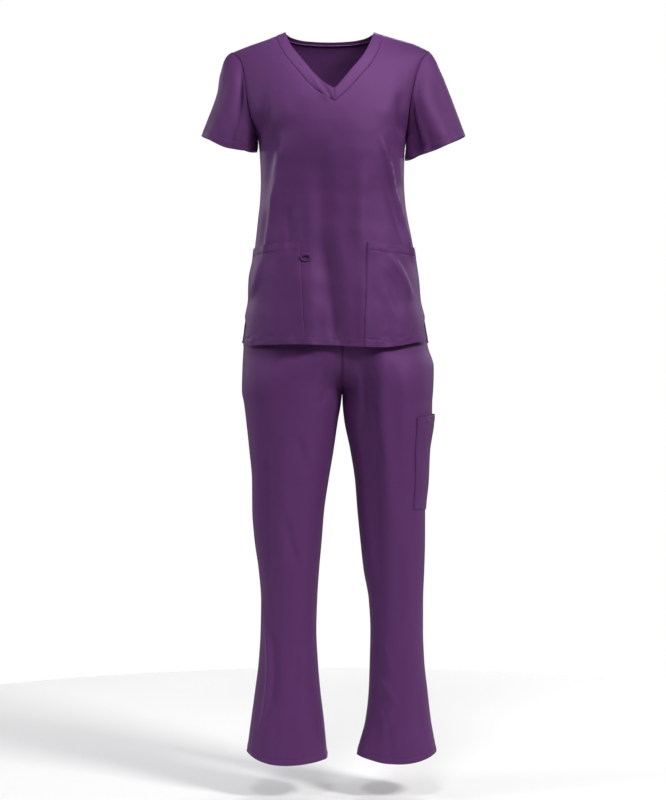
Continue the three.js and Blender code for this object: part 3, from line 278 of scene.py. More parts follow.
FOLDS = {
    "top_front": [
        (-30, -235, -24, -520, 36, -10, 2, 0.45),
        (-22, -430, 4, -700, 34, -18, -2, 0.45),
        (-50, -280, -46, -690, 22, 5, -4, 0),
        (62, -280, 54, -480, 20, 5, 3, 0),
        (62, -500, 58, -690, 14, 4, 0, 0),
        (-14, -560, -12, -690, 12, 3, 0, 0),
        (98, -228, 128, -352, 5, 9, -2, 0.5),
        (122, -322, 167, -490, 5, 10, 0, 0.5),
        (104, -290, 148, -460, 13, -5, 0, 0),
        (134, -250, 142, -330, 8, 4, 0, 0.3),
        (-104, -290, -142, -484, 7, 6.5, 3, -0.6),
        (-92, -215, -132, -400, 12, 6, 3, -0.3),
        (-114, -205, -148, -390, 14, -8, 4, 0.3),
        (-136, -360, -150, -470, 9, -4, 0, 0),
        (-94, -370, -88, -476, 12, -5.5, 0, -0.3),
        (-76, -370, -72, -476, 10, 2.5, 0, 0),
        (-140, -470, -168, -560, 10, 4.5, 0, 0.3),
        (-100, -480, -92, -640, 20, -3, 0, 0),
        (114, -470, 162, -566, 8, 6, -5, 0.4),
        (104, -500, 140, -600, 12, -3.5, -3, 0),
        (108, -560, 116, -680, 16, -3, 0, 0),
        (-138, -130, -146, -238, 11, -11, 0, 0),
        (138, -130, 145, -232, 11, -11, 0, 0),
        (-42, -108, -8, -164, 5, 9, 0, 0.3),
        (-32, -108, 2, -168, 4, -8, 0, 0),
        (-52, -104, -26, -150, 4, -7, 0, 0),
        (-150, -60, -90, -215, 26, 3.5, 0, 0),
        (150, -70, 96, -215, 24, 3.5, 0, 0),
        (-60, -150, -96, -250, 18, -2.5, 0, 0),
        (84, -70, 104, -150, 16, -3, 0, 0),
        (-86, -636, -78, -700, 8, 3, 0, 0.3),
        (-62, -642, -70, -700, 7, -2.5, 0, 0),
        (-42, -646, -34, -702, 8, 3.2, 0, 0.3),
        (-14, -640, -22, -700, 7, -3, 0, 0),
        (4, -646, 12, -700, 8, 3.4, 0, 0.4),
        (30, -640, 24, -704, 7, -2.6, 0, 0),
    ],
    "top_back": [
        (-40, -250, -66, -470, 20, -6, 5, 0.3),
        (44, -240, 70, -480, 22, -6, -6, -0.3),
        (2, -320, 0, -650, 26, 5, 5, 0),
        (-108, -330, -130, -570, 15, 4.5, 4, 0.4),
        (110, -350, 134, -560, 14, 4.5, -4, -0.4),
        (-126, -225, -96, -330, 14, -4, 3, 0),
        (122, -222, 90, -340, 14, -4.5, -3, 0),
        (-60, -470, -72, -650, 18, -3.5, 0, 0),
        (64, -480, 58, -650, 18, -4, 0, 0.3),
        (-150, -400, -160, -560, 10, -3, 0, 0),
        (148, -300, 158, -460, 9, 3, 0, 0),
        (-20, -120, -70, -240, 24, 2.5, 0, 0),
        (20, -120, 74, -236, 24, 2.5, 0, 0),
    ],
    "leg_front_right": [
        (-134, -830, -128, -1190, 14, -5, 5, 0.2),
        (-104, -800, -100, -1150, 14, 2.5, 0, 0),
        (-76, -835, -42, -925, 12, -3, 3, 0.3),
        (-60, -850, -38, -930, 10, 1.4, 0, 0),
        (-106, -985, -66, -1125, 13, -4, 4, 0.3),
        (-147, -1205, -154, -1465, 6, 14, -20, 0.5),
        (-36, -1240, -30, -1500, 3, -2.4, 0, 0),
        (-140, -800, -136, -1130, 16, -6, 3, 0.2),
        (-128, -1240, -126, -1450, 12, -3.5, -8, 0),
        (-20, -690, -8, -800, 10, -4, 2, 0.2),
        (4, -735, -30, -790, 7, -3, 2, 0.2),
        (10, -745, -30, -812, 8, 1.6, 6, 0),
        (-92, -640, -112, -780, 20, -2.5, 0, 0),
        (-60, -1230, -88, -1400, 14, -2.5, 0, 0.2),
        (-50, -1290, -70, -1500, 12, 2.4, 0, 0),
        (-100, -1400, -112, -1520, 12, 2.4, 0, 0),
    ],
    "leg_front_left": [
        (52, -620, 74, -1200, 40, -24, -4, 0.2),
        (78, -1080, 70, -1560, 34, -17, 0, 0.2),
        (96, -640, 126, -1060, 20, 6, 8, 0.2),
        (54, -690, 48, -850, 9, -6, -16, 0.3),
        (46, -716, 52, -795, 9, 7, -2, 0.2),
        (88, -690, 108, -930, 10, -5, 14, 0.3),
        (140, -700, 146, -900, 16, 3, 0, 0),
        (150, -1020, 156, -1260, 16, 3, 0, 0),
        (86, -1250, 120, -1330, 11, 3, -3, 0.3),
        (84, -1346, 134, -1404, 8, 5, -6, 0.5),
        (70, -1380, 108, -1452, 8, 5, -4, 0.5),
        (76, -1400, 104, -1446, 9, -4, 0, 0.2),
        (176, -1330, 184, -1490, 12, -3, 0, 0),
        (112, -1430, 122, -1530, 10, -3.5, 0, 0),
    ],
    "leg_back_right": [
        (-120, -765, -30, -815, 13, -6, 5, 0.3),
        (-100, -800, -36, -848, 11, -4, 4, 0.2),
        (-130, -1105, -56, -1165, 12, -5.5, 5, 0.3),
        (-132, -1160, -64, -1205, 11, -4, 4, 0.2),
        (-150, -860, -140, -1100, 15, 4.5, -4, 0),
        (-90, -1230, -122, -1470, 13, 4.5, 6, 0.4),
        (-60, -860, -64, -1080, 14, -4, 0, 0.2),
        (-40, -600, -100, -740, 24, 3.5, 0, 0),
        (-56, -1290, -80, -1490, 11, -3.6, 0, 0),
    ],
    "leg_back_left": [
        (140, -770, 60, -822, 13, -6, -5, 0.3),
        (126, -812, 62, -856, 11, -4, -3, 0.2),
        (158, -1110, 92, -1172, 12, -5.5, -4, 0.3),
        (150, -1168, 100, -1212, 10, -3.8, -3, 0.2),
        (116, -860, 110, -1080, 14, -3.6, 0, 0),
        (120, -1240, 152, -1480, 13, 4.5, -5, 0.4),
        (80, -600, 130, -740, 24, 3.5, 0, 0),
        (100, -1300, 112, -1490, 10, -3.5, 0, 0),
    ],
    "cargo_pocket": [
        (0.1, 1.05, 0.3, 0.45, 0.07, 1, 0, 0.3),
        (0.55, 0.9, 0.7, 0.2, 0.1, 1, 0, 0),
    ],
}

# Folds of the sleeves: the angle from the shoulder line in degrees, front positive, the angle
# at the far end, where the fold starts and ends along the sleeve, its half width in degrees
# and its height
SLEEVE_FOLDS = {
    "right": [
        (90, 96, -0.1, 1.35, 19, -15),
        (124, 130, -0.1, 1.3, 13, 7),
        (58, 60, 0.1, 1.2, 14, 4),
        (36, 24, 0.3, 1.3, 14, -3),
        (-104, -120, 0.05, 1.2, 20, -10),
        (-64, -70, 0.3, 1.2, 15, 4),
        (-144, -154, 0, 1, 12, 4),
    ],
    "left": [
        (118, 128, -0.1, 1.1, 14, -12),
        (88, 96, 0.1, 1.25, 8, -4),
        (70, 66, 0.1, 1.2, 14, 5),
        (44, 40, 0.35, 1.3, 12, -3.5),
        (146, 158, 0.1, 1.1, 11, 4),
        (-108, -120, 0.05, 1.2, 20, -10),
        (-66, -62, 0.3, 1.2, 15, 4),
        (-144, -154, 0, 1, 12, 4),
    ],
}

# Distances of the rows of a grid that follow the dip of a seam
SEAM_ROWS = (0.5, 1.6, 3.2)

# The stage, in metres. A light has its place, its aim, its size, the setting of its power, its
# colour and its spread in degrees.
FLOOR_RADIUS = 1.7
FLOOR_SIDES = 96
CAMERA_LEVEL = -0.771
CAMERA_LENS = 77.14
CAMERA_SENSOR = 36
CAMERA_REACH = 50
WHITE = (1, 1, 1)
LIGHTS = {
    "key_light": ((2.45, -2.15, 1.6), (0, 0, -0.75), 0.9, "key_power", (1, 0.99, 0.97), 180),
    "fill_light": ((-2.8, -0.8, 0.5), (0, 0, -0.6), 1.0, "fill_power", (0.97, 0.98, 1), 180),
    "front_light": ((-0.4, -2.5, 2.5), (0, 0, -0.5), 0.8, "front_power", WHITE, 180),
    "neck_light": ((0, -0.45, 0.45), (0, 0.08, -0.12), 0.25, "neck_power", WHITE, 36),
    "back_light": ((0.7, 3.0, 1.4), (0, 0, -0.6), 1.0, "back_power", WHITE, 180),
    "rim_light_right": ((-2.4, 1.8, 0.3), (0, 0, -0.7), 1.0, "rim_power", WHITE, 180),
    "rim_light_left": ((2.4, 1.8, 0.3), (0, 0, -0.7), 1.0, "rim_power", WHITE, 180),
}


# Curves and fields

def curve(table, column, at):
    """Monotone cubic through a column of a table over its first column: each tangent is the
    harmonic mean of the slopes on its two sides, or zero where they differ in sign."""
    key, value = table[:, 0], table[:, column]
    slope = np.diff(value) / np.diff(key)
    before, after = slope[:-1], slope[1:]
    same = before * after > 0
    mean = np.where(same, 2 * before * after / np.where(same, before + after, 1), 0)
    tangent = np.concatenate([slope[:1], mean, slope[-1:]])
    at = np.clip(at, key[0], key[-1])
    i = np.clip(np.searchsorted(key, at, side="right") - 1, 0, len(key) - 2)
    span = key[i + 1] - key[i]
    t = (at - key[i]) / span
    t2, t3 = t * t, t * t * t
    return (
        (2 * t3 - 3 * t2 + 1) * value[i]
        + (t3 - 2 * t2 + t) * span * tangent[i]
        + (3 * t2 - 2 * t3) * value[i + 1]
        + (t3 - t2) * span * tangent[i + 1]
    )


def ramp(value, start, end):
    """Smooth step: 3t squared minus 2t cubed, with t running from 0 at start to 1 at end."""
    t = np.clip((value - start) / (end - start), 0, 1)
    return t * t * (3 - 2 * t)


def lerp(a, b, t):
    """Straight line from a to b."""
    return a + (b - a) * t


def signed_power(value, power):
    """Sign of the value times its size raised to a power."""
    return np.sign(value) * np.abs(value) ** power


def bell(distance, width):
    """Gaussian: e to the minus half of the square of distance over width."""
    return np.exp(-0.5 * (distance / width) ** 2)


def point(x, y, z):
    """Stacks three arrays into points."""
    return np.stack(np.broadcast_arrays(x, y, z), axis=-1).astype(float)


def fold_relief(folds, x, z):
    """Sum of the folds: a bell across each line, bowed by a parabola, wider on one side by its
    lean, and faded at both ends with smooth steps."""
    total = np.zeros(np.broadcast(x, z).shape)
    for x0, z0, x1, z1, width, height, bow, lean in folds:
        dx, dz = x1 - x0, z1 - z0
        length = math.hypot(dx, dz)
        along = ((x - x0) * dx + (z - z0) * dz) / length ** 2
        inside = np.clip(along, 0, 1)
        across = ((x - x0) * dz - (z - z0) * dx) / length - 4 * bow * inside * (1 - inside)
        sigma = 0.6 * width * (1 + lean * np.tanh(across / width))
        fade = ramp(along, -0.05, 0.3) * (1 - ramp(along, 0.7, 1.05))
        total += height * fade * bell(across, sigma)
    return total


def unevenness(a, b, size):
    """Soft ripple of the cloth: five sine waves of lengths near size, crossing at odd angles."""
    a, b = a / size, b / size
    return (
        np.sin(1.3 * a + 0.7 * b + 0.4)
        + 0.8 * np.sin(-0.9 * a + 1.7 * b + 2.1)
        + 0.6 * np.sin(2.3 * a - 0.4 * b + 4.4)
        + 0.5 * np.sin(0.5 * a + 2.9 * b + 1.2)
        + 0.4 * np.sin(3.1 * a + 2.2 * b + 5.3)
    ) / 2


def normals(surface, u, v, step=1e-4):
    """Unit normals of a surface: the cross product of its small steps along u and v."""
    u0, u1 = np.clip(u - step, 0, 1), np.clip(u + step, 0, 1)
    v0, v1 = np.clip(v - step, 0, 1), np.clip(v + step, 0, 1)
    n = np.cross(surface(u1, v) - surface(u0, v), surface(u, v1) - surface(u, v0))
    return n / np.maximum(np.linalg.norm(n, axis=-1, keepdims=True), 1e-12)


def raised(surface, height):
    """A surface moved along its normal by a number or by a function of u and v."""
    def moved(u, v):
        amount = height(u, v) if callable(height) else np.full(np.broadcast(u, v).shape, height)
        return surface(u, v) + normals(surface, u, v) * amount[..., None]
    return moved


def steps(count, length, near=SEAM_ROWS, ends=(True, True)):
    """Even shares of a length, with extra ones a few millimetres from its ends."""
    values = [np.linspace(0, 1, count + 1)]
    if ends[0]:
        values.append(np.array(near) / length)
    if ends[1]:
        values.append(1 - np.array(near) / length)
    return np.unique(np.round(np.concatenate(values), 7))


# Shells of cloth

class Piece:
    """A grid of cloth: its outer skin, its normals and the distances along it, in millimetres."""

    def __init__(self, surface, columns, rows, ring):
        u, v = np.meshgrid(columns, rows, indexing="ij")
        self.outer = surface(u, v)
        self.normal = normals(surface, u, v)
        if ring:
            self.outer[-1] = self.outer[0]
            self.normal[-1] = self.normal[0]
        self.ring = ring
        self.rows = np.asarray(rows)
        self.measure()

    def measure(self):
        """Distances from the four edges: running sums of the lengths of the grid's sides."""
        wide = np.linalg.norm(np.diff(self.outer, axis=0), axis=-1)
        tall = np.linalg.norm(np.diff(self.outer, axis=1), axis=-1)
        self.u0 = np.concatenate([np.zeros((1, wide.shape[1])), np.cumsum(wide, axis=0)])
        self.v0 = np.concatenate([np.zeros((tall.shape[0], 1)), np.cumsum(tall, axis=1)], axis=1)
        self.u1 = self.u0[-1:] - self.u0
        self.v1 = self.v0[:, -1:] - self.v0

    def edge(self, name):
        """Distance from one edge, by its name."""
        return getattr(self, name)

    def lift(self, height):
        """Moves the skin along its normals."""
        self.outer = self.outer + self.normal * np.asarray(height)[..., None]

    def tuck(self, name, reach):
        """Runs an edge on by a little, under its neighbour."""
        rows = {"u0": (0, 1), "u1": (-1, -2)}.get(name)
        skin = self.outer if rows else self.outer.transpose(1, 0, 2)
        edge, beside = rows or {"v0": (0, 1), "v1": (-1, -2)}[name]
        way = skin[edge] - skin[beside]
        skin[edge] += reach * way / np.maximum(np.linalg.norm(way, axis=-1, keepdims=True), 1e-9)

    def area(self):
        """Area in square metres: half the cross product of the diagonals of each cell."""
        a, b = self.outer[:-1, :-1], self.outer[1:, 1:]
        c, d = self.outer[1:, :-1], self.outer[:-1, 1:]
        return 0.5 * np.linalg.norm(np.cross(b - a, d - c), axis=-1).sum() * MM * MM

    def flat(self, top=1.0):
        """Longest of the rows up to a share of them, and longest column, in metres, with no side
        under the least."""
        sides = self.u0[-1, self.rows <= top].max(), self.v0[:, -1].max()
        return tuple(max(LEAST_SIDE, float(side) * MM) for side in sides)

    def line(self, edge, distance, start=0.0, end=1.0):
        """Points and normals a distance from an edge, between two shares of its length."""
        field = self.edge(edge)
        points, normal = self.outer, self.normal
        if edge in ("u0", "u1"):
            field, points, normal = field.T, points.transpose(1, 0, 2), normal.transpose(1, 0, 2)
        if edge in ("u1", "v1"):
            field, points, normal = field[:, ::-1], points[:, ::-1], normal[:, ::-1]
        count = len(field)
        low, high = int(round(start * (count - 1))), int(round(end * (count - 1)))
        found = [
            np.column_stack([np.interp(distance, f, q[:, k]) for k in range(3)]
                            + [np.interp(distance, f, n[:, k]) for k in range(3)])
            for f, q, n in zip(field[low:high + 1], points[low:high + 1], normal[low:high + 1])
        ]
        found = np.concatenate(found)
        return found[:, :3], found[:, 3:]


def sewn(grid, seams=(), hems=(), stitches=(), under=0.5, dip=0.7):
    """Sewing in the surface: a dip along seams, a doubled step and puckers along hems. Returns
    the distances to the nearest seam and to the nearest row of stitches."""
    shape = grid.u0.shape
    seam = np.full(shape, 1000.0)
    stitch = np.full(shape, 1000.0)
    for name in seams:
        seam = np.minimum(seam, grid.edge(name))
    for name, distance in stitches:
        stitch = np.minimum(stitch, np.abs(grid.edge(name) - distance))
    height = -dip * np.exp(-(seam / 2.4) ** 2)
    for name, width, pucker in hems:
        away = grid.edge(name)
        along = grid.u0 if name in ("v0", "v1") else grid.v0
        wave = unevenness(along, away * 1.5, 7.5) * (0.5 + 0.5 * np.sin(along / 41 + 0.8))
        height = height + 0.45 * (1 - ramp(away, width - 0.8, width + 0.8))
        height = height + pucker * wave * bell(away - width * 0.75, width * 0.55)
    grid.lift(height)
    for name in seams:
        grid.tuck(name, under)
    return seam, stitch


def shell(name, grid, wall, seam, stitch, material):
    """Closed shell between a grid's outer skin and its inner skin, a wall's thickness inside,
    with its rim, its own UV map in metres and the distances to seams and stitches."""
    full, rows = grid.u0.shape
    used = full - 1 if grid.ring else full
    outer = grid.outer[:used].reshape(-1, 3)
    inner = (grid.outer - grid.normal * wall)[:used].reshape(-1, 3)
    strips = []

    def add_faces(across, along, skins):
        """Faces by the columns, the rows and the skins (0 outer, 1 inner) of their four corners."""
        spread = np.broadcast_arrays(*across, *along, *skins)
        strips.append([np.stack(spread[k:k + 4], 1) for k in (0, 4, 8)])

    i, j = np.meshgrid(np.arange(full - 1), np.arange(rows - 1), indexing="ij")
    i, j = i.ravel(), j.ravel()
    add_faces((i, i + 1, i + 1, i), (j, j, j + 1, j + 1), (0, 0, 0, 0))
    add_faces((i, i, i + 1, i + 1), (j, j + 1, j + 1, j), (1, 1, 1, 1))
    i = np.arange(full - 1)
    add_faces((i, i, i + 1, i + 1), (0,) * 4, (0, 1, 1, 0))
    add_faces((i, i + 1, i + 1, i), (rows - 1,) * 4, (0, 0, 1, 1))
    if not grid.ring:
        j = np.arange(rows - 1)
        add_faces((0,) * 4, (j, j + 1, j + 1, j), (0, 0, 1, 1))
        add_faces((full - 1,) * 4, (j, j, j + 1, j + 1), (0, 1, 1, 0))
    column, row, skin = (np.concatenate(part) for part in zip(*strips))
    faces = (column % used) * rows + row + skin * used * rows
    mesh = bpy.data.meshes.new(name)
    mesh.from_pydata((np.concatenate([outer, inner]) * MM).tolist(), [], faces.tolist())
    uv = np.stack([grid.u0[column, row], grid.v0[column, row]], -1) * MM
    mesh.uv_layers.new(name="cloth").data.foreach_set("uv", uv.ravel())
    for label, field in (("seam", seam), ("stitch", stitch)):
        values = np.concatenate([field[:used].ravel()] * 2) * MM
        mesh.attributes.new(label, "FLOAT", "POINT").data.foreach_set("value", values)
    return finish_mesh(name, mesh, material)


def finish_mesh(name, mesh, material):
    """Smooth shading, one material, and an object at the origin."""
    mesh.polygons.foreach_set("use_smooth", np.ones(len(mesh.polygons), bool))
    mesh.materials.append(material)
    mesh.validate()
    mesh.update()
    obj = bpy.data.objects.new(name, mesh)
    bpy.context.scene.collection.objects.link(obj)
    return obj


def dashes(name, lines, material):
    """Rows of thread: each stitch is a double pyramid between two points of its line, with its
    widest section half way and its tips pulled into the cloth."""
    length, pitch = THREAD["length"], THREAD["pitch"]
    starts, ends, ups = [], [], []

    def interpolated(at, reach, values):
        return np.column_stack([np.interp(at, reach, values[:, k]) for k in range(3)])

    for points, normal in lines:
        step = np.linalg.norm(np.diff(points, axis=0), axis=1)
        reach = np.concatenate([[0], np.cumsum(step)])
        at = np.arange(0.4 * pitch, reach[-1] - length, pitch)
        if len(at) == 0:
            continue
        starts.append(interpolated(at, reach, points))
        ends.append(interpolated(at + length, reach, points))
        ups.append(interpolated(at + 0.5 * length, reach, normal))
    a, b, up = np.concatenate(starts), np.concatenate(ends), np.concatenate(ups)
    up = up / np.linalg.norm(up, axis=1, keepdims=True)
    across = np.cross(b - a, up)
    across = across / np.maximum(np.linalg.norm(across, axis=1, keepdims=True), 1e-9)
    middle = (a + b) / 2
    side = across * THREAD["width"] / 2
    ring = [middle + side, middle + up * THREAD["height"], middle - side, middle - up * THREAD["root"]]
    verts = np.stack([a - up * THREAD["tip"], b - up * THREAD["tip"]] + ring, axis=1)
    fan = np.array([
        (0, 3, 2), (0, 4, 3), (0, 5, 4), (0, 2, 5), (1, 2, 3), (1, 3, 4), (1, 4, 5), (1, 5, 2),
    ])
    faces = (np.arange(len(a))[:, None, None] * 6 + fan[None]).reshape(-1, 3)
    mesh = bpy.data.meshes.new(name)
    mesh.from_pydata((verts.reshape(-1, 3) * MM).tolist(), [], faces.tolist())
    return finish_mesh(name, mesh, material)


def place_piece(obj, node, slot, grid, rests_on, thread=None, held="hung", top=1.0):
    """Sets a shell in the frame: parents it and its thread to the root and hides the imported part it stands
    in for. What it rides on, its slot and how it is held are not used; the flat sides and area of its grid
    are worked out and not kept.
    """
    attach(obj, "root")
    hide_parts(node)
    if thread is not None:
        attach(thread, "root")
    grid.flat(top)
    grid.area()


def make_piece(s, name, part, grid, rests_on, seams=(), hems=(), grooves=(), threads=(), wall=None,
               under=0.5, **placing):
    """Sews a grid, makes its shell and its rows of thread, and sets them in the frame. A groove is
    an edge and a distance, and a row of thread may add the shares between which it runs."""
    seam, stitch = sewn(grid, seams, hems, grooves, under)
    obj = shell(f"cloth_{name}", grid, (wall or s.wall) / MM, seam, stitch, cloth_for(s, part))
    thread = None
    if threads:
        lines = [grid.line(*row) for row in threads]
        thread = dashes(f"stitches_{name}", lines, cloth_for(s, "thread"))
    place_piece(obj, name, f"{part}_cloth", grid, rests_on, thread, **placing)


# Cloth as a material

def link_chain(tree, kind, **inputs):
    """Adds a node, sets its options and sockets by name, or by number as i0, i1 and so on, and links
    those that are given another node's socket."""
    node = tree.nodes.new(kind)
    for key, value in inputs.items():
        if hasattr(node, key):
            setattr(node, key, value)
            continue
        numbered = key[0] == "i" and key[1:].isdigit()
        socket = node.inputs[int(key[1:]) if numbered else key.replace("_", " ")]
        if isinstance(value, bpy.types.NodeSocket):
            tree.links.new(value, socket)
        else:
            socket.default_value = value
    return node


def blank_material(name):
    """A material and its node tree, with no node in it."""
    material = bpy.data.materials.new(name)
    material.use_nodes = True
    material.node_tree.nodes.clear()
    return material, material.node_tree


def cloth_material(name, colour, deep, roughness):
    """Stretch twill: diagonal ribs and yarn on the UV map, a melange of two tones, soft wrinkles,
    grooves where the seam and stitch distances fall to nothing, darkened there by painted shade, and a low
    sheen."""
    material, tree = blank_material(name)

    def add(kind, **inputs):
        return link_chain(tree, kind, **inputs)

    uv = add("ShaderNodeUVMap", uv_map="cloth").outputs["UV"]
    solid = add("ShaderNodeTexCoord").outputs["Object"]

    ribs = add("ShaderNodeMapping", Vector=uv)
    ribs.inputs["Rotation"].default_value = (0, 0, math.radians(58))
    twill = add("ShaderNodeTexWave", Vector=ribs.outputs[0], Scale=330.0, Distortion=1.2, Detail=1.0)
    stretch = add("ShaderNodeMapping", Vector=uv)
    stretch.inputs["Scale"].default_value = (1.0, 0.22, 1.0)
    yarn = add("ShaderNodeTexNoise", Vector=stretch.outputs[0], Scale=1500.0, Detail=2.0, Roughness=0.6)
    drift = add("ShaderNodeTexNoise", Vector=solid, Scale=6.0, Detail=2.0)

    light = [min(1.0, c * 1.16) for c in colour]
    melange = add("ShaderNodeMix", data_type="RGBA", i6=(*deep, 1), i7=(*light, 1), i0=yarn.outputs["Fac"])
    toned = add("ShaderNodeMix", data_type="RGBA", blend_type="MULTIPLY", i0=0.12, i6=melange.outputs[2])
    tree.links.new(drift.outputs["Fac"], toned.inputs[7])
    seam = add("ShaderNodeAttribute", attribute_name="seam").outputs["Fac"]
    stitch = add("ShaderNodeAttribute", attribute_name="stitch").outputs["Fac"]
    near = add("ShaderNodeMath", operation="MINIMUM", i0=seam, i1=stitch).outputs[0]
    groove = add("ShaderNodeMapRange", interpolation_type="SMOOTHSTEP", Value=near)
    groove.inputs["From Min"].default_value = 0.0
    groove.inputs["From Max"].default_value = 0.0014
    # Painted shade: the colour is darkened to 0.86 of itself along the seam and stitch grooves, where the dip
    # would shade it.
    shade = add("ShaderNodeMapRange", Value=groove.outputs[0])
    shade.inputs["To Min"].default_value = 0.86
    # The cloth's colour multiplied by that painted groove shade.
    painted_groove_shade = add("ShaderNodeMix", data_type="RGBA", blend_type="MULTIPLY", i0=1.0, i6=toned.outputs[2])
    tree.links.new(shade.outputs[0], painted_groove_shade.inputs[7])

    wrinkle = add("ShaderNodeTexNoise", Vector=solid, Scale=26.0, Detail=3.0, Roughness=0.45)
    soft = add("ShaderNodeBump", Strength=0.5, Distance=0.0022, Height=wrinkle.outputs["Fac"])
    pressed = add("ShaderNodeBump", Strength=0.7, Distance=0.0005, Height=groove.outputs[0])
    tree.links.new(soft.outputs[0], pressed.inputs["Normal"])
    slub = add("ShaderNodeBump", Strength=0.25, Distance=0.0001, Height=yarn.outputs["Fac"])
    tree.links.new(pressed.outputs[0], slub.inputs["Normal"])
    weave = add("ShaderNodeBump", Strength=0.3, Distance=0.00012, Height=twill.outputs["Fac"])
    tree.links.new(slub.outputs[0], weave.inputs["Normal"])

    gloss = add("ShaderNodeMapRange", Value=yarn.outputs["Fac"])
    gloss.inputs["To Min"].default_value = roughness - 0.06
    gloss.inputs["To Max"].default_value = roughness + 0.08
    shader = add("ShaderNodeBsdfPrincipled", Normal=weave.outputs[0])
    tree.links.new(painted_groove_shade.outputs[2], shader.inputs["Base Color"])
    tree.links.new(gloss.outputs[0], shader.inputs["Roughness"])
    shader.inputs["Specular IOR Level"].default_value = 0.5
    shader.inputs["Specular Tint"].default_value = (0.78, 0.36, 0.95, 1)
    shader.inputs["Sheen Weight"].default_value = 0.06
    shader.inputs["Sheen Roughness"].default_value = 0.42
    shader.inputs["Sheen Tint"].default_value = (0.62, 0.36, 0.72, 1)
    output = tree.nodes.new("ShaderNodeOutputMaterial")
    tree.links.new(shader.outputs[0], output.inputs[0])
    return material


def thread_material(name, colour):
    """Twisted polyester thread: fine diagonal turns over a slightly glossy base."""
    material, tree = blank_material(name)
    solid = link_chain(tree, "ShaderNodeTexCoord").outputs["Object"]
    turns = link_chain(tree, "ShaderNodeTexWave", Vector=solid, Scale=900.0, bands_direction="DIAGONAL")
    tone = link_chain(tree, "ShaderNodeMix", data_type="RGBA", i0=turns.outputs["Fac"])
    tone.inputs[6].default_value = (*[c * 0.8 for c in colour], 1)
    tone.inputs[7].default_value = (*[c * 1.25 for c in colour], 1)
    bump = link_chain(tree, "ShaderNodeBump", Strength=0.4, Distance=0.0001, Height=turns.outputs["Fac"])
    shader = link_chain(tree, "ShaderNodeBsdfPrincipled", Normal=bump.outputs[0], Roughness=0.5)
    tree.links.new(tone.outputs[2], shader.inputs["Base Color"])
    output = tree.nodes.new("ShaderNodeOutputMaterial")
    tree.links.new(shader.outputs[0], output.inputs[0])
    return material


def cloth_for(settings, part):
    """The material of the top, the neckband, the trousers or the thread, made once."""
    name = f"scrubs_{part}"
    if name in bpy.data.materials:
        return bpy.data.materials[name]
    colour = tuple(getattr(settings, f"{part}_colour"))
    if part == "thread":
        return thread_material(name, colour)
    return cloth_material(name, colour, tuple(c * 0.84 for c in colour), settings.roughness)


# Forms of the top

def shoulder_z(x):
    """Height of the shoulder line, straight between the rows of its table."""
    return np.interp(x, SHOULDER[:, 0], SHOULDER[:, 1])


def torso_x(angle, z):
    """x of the torso: the middle of a ring plus its half width times the sine of the angle to
    the power of two over the ring's own power."""
    right, left = curve(TORSO, 1, z), curve(TORSO, 2, z)
    return (right + left) / 2 + (left - right) / 2 * signed_power(np.sin(angle), 2 / RING_POWER)


def torso_angle(x, z):
    """The angle at which the torso has a given x: the inverse of torso_x."""
    right, left = curve(TORSO, 1, z), curve(TORSO, 2, z)
    share = np.clip((x - (right + left) / 2) / ((left - right) / 2), -1, 1)
    return np.arcsin(signed_power(share, RING_POWER / 2))


def torso_point(face, angle, z):
    """A superellipse ring. Above the underarm it closes over the shoulder line as the root of one
    minus its share of the rise, and the armhole edge stands forward of the side."""
    x = torso_x(angle, z)
    depth = curve(TORSO, 3 if face < 0 else 4, z)
    arm = ARM_DEPTH_FRONT if face < 0 else ARM_DEPTH_BACK
    below = np.clip((ARM_MIDDLE - z) / (ARM_MIDDLE - UNDERARM), 0, 1)
    above = z > UNDERARM
    edge = np.where(above, arm * (1 - below * below) ** ARM_CURVE_POWER, 0)
    rise = np.where(above, np.clip((z - UNDERARM) / (shoulder_z(x) - UNDERARM), 0, 1), 0)
    rise = rise * rise * ramp(rise, -0.1, 0.4)
    across = np.abs(np.cos(angle)) ** (2 / RING_POWER)
    edge = edge * lerp(1, ramp(z, UNDERARM, UNDERARM + ARM_EDGE_RISE), np.clip(across * 3, 0, 1))
    reach = (depth * across + edge * (1 - across) ** ARM_TUBE_POWER) * np.sqrt(1 - rise)
    return point(x, face * reach, z)


def torso_skin(face, angle, z, folds, depth):
    """The torso moved by its folds along the ring's horizontal normal. The folds fade out at
    the side seams and towards the shoulders."""
    here = torso_point(face, angle, z)
    step = 1e-4
    around = torso_point(face, np.minimum(QUARTER_TURN, angle + step), z)
    around = around - torso_point(face, np.maximum(-QUARTER_TURN, angle - step), z)
    normal = point(-around[..., 1], around[..., 0], 0 * around[..., 0])
    normal = face * normal / np.maximum(np.linalg.norm(normal, axis=-1, keepdims=True), 1e-12)
    calm = (1 - (np.abs(angle) / QUARTER_TURN) ** 10) * (1 - ramp(z, UNDERARM, SHOULDER_CALM))
    ripple = TOP_RIPPLE[0] * unevenness(here[..., 0], z, TOP_RIPPLE[1])
    return here + normal * ((fold_relief(folds, here[..., 0], z) * depth + ripple) * calm)[..., None]


def neck_station(rows, at):
    """Edge x, edge z and seam x at a station of the neck."""
    return curve(rows, 1, at), curve(rows, 2, at), curve(rows, 3, at)


def seam_height(rows, x):
    """Height of a neck seam over x, under the shoulder line."""
    return np.minimum(shoulder_z(x), curve(rows[:, [3, 4]], 1, x))


def front_seam(x):
    """The front seam of the neck: two curves that meet at the point of the V."""
    right = seam_height(NECK[:V_STATION + 1], x)
    return np.where(x < NECK[V_STATION, 3], right, seam_height(NECK[V_STATION:], x))


def back_seam(x):
    """The back seam of the neck."""
    return seam_height(BACK_NECK, x)


def panel_top(rows, seam):
    """Upper boundary of a panel: the shoulder line and, between the ends of the neck, its seam."""
    first, last = rows[0, 3], rows[-1, 3]
    return lambda x: np.where((x <= first) | (x >= last), shoulder_z(x), seam(x))


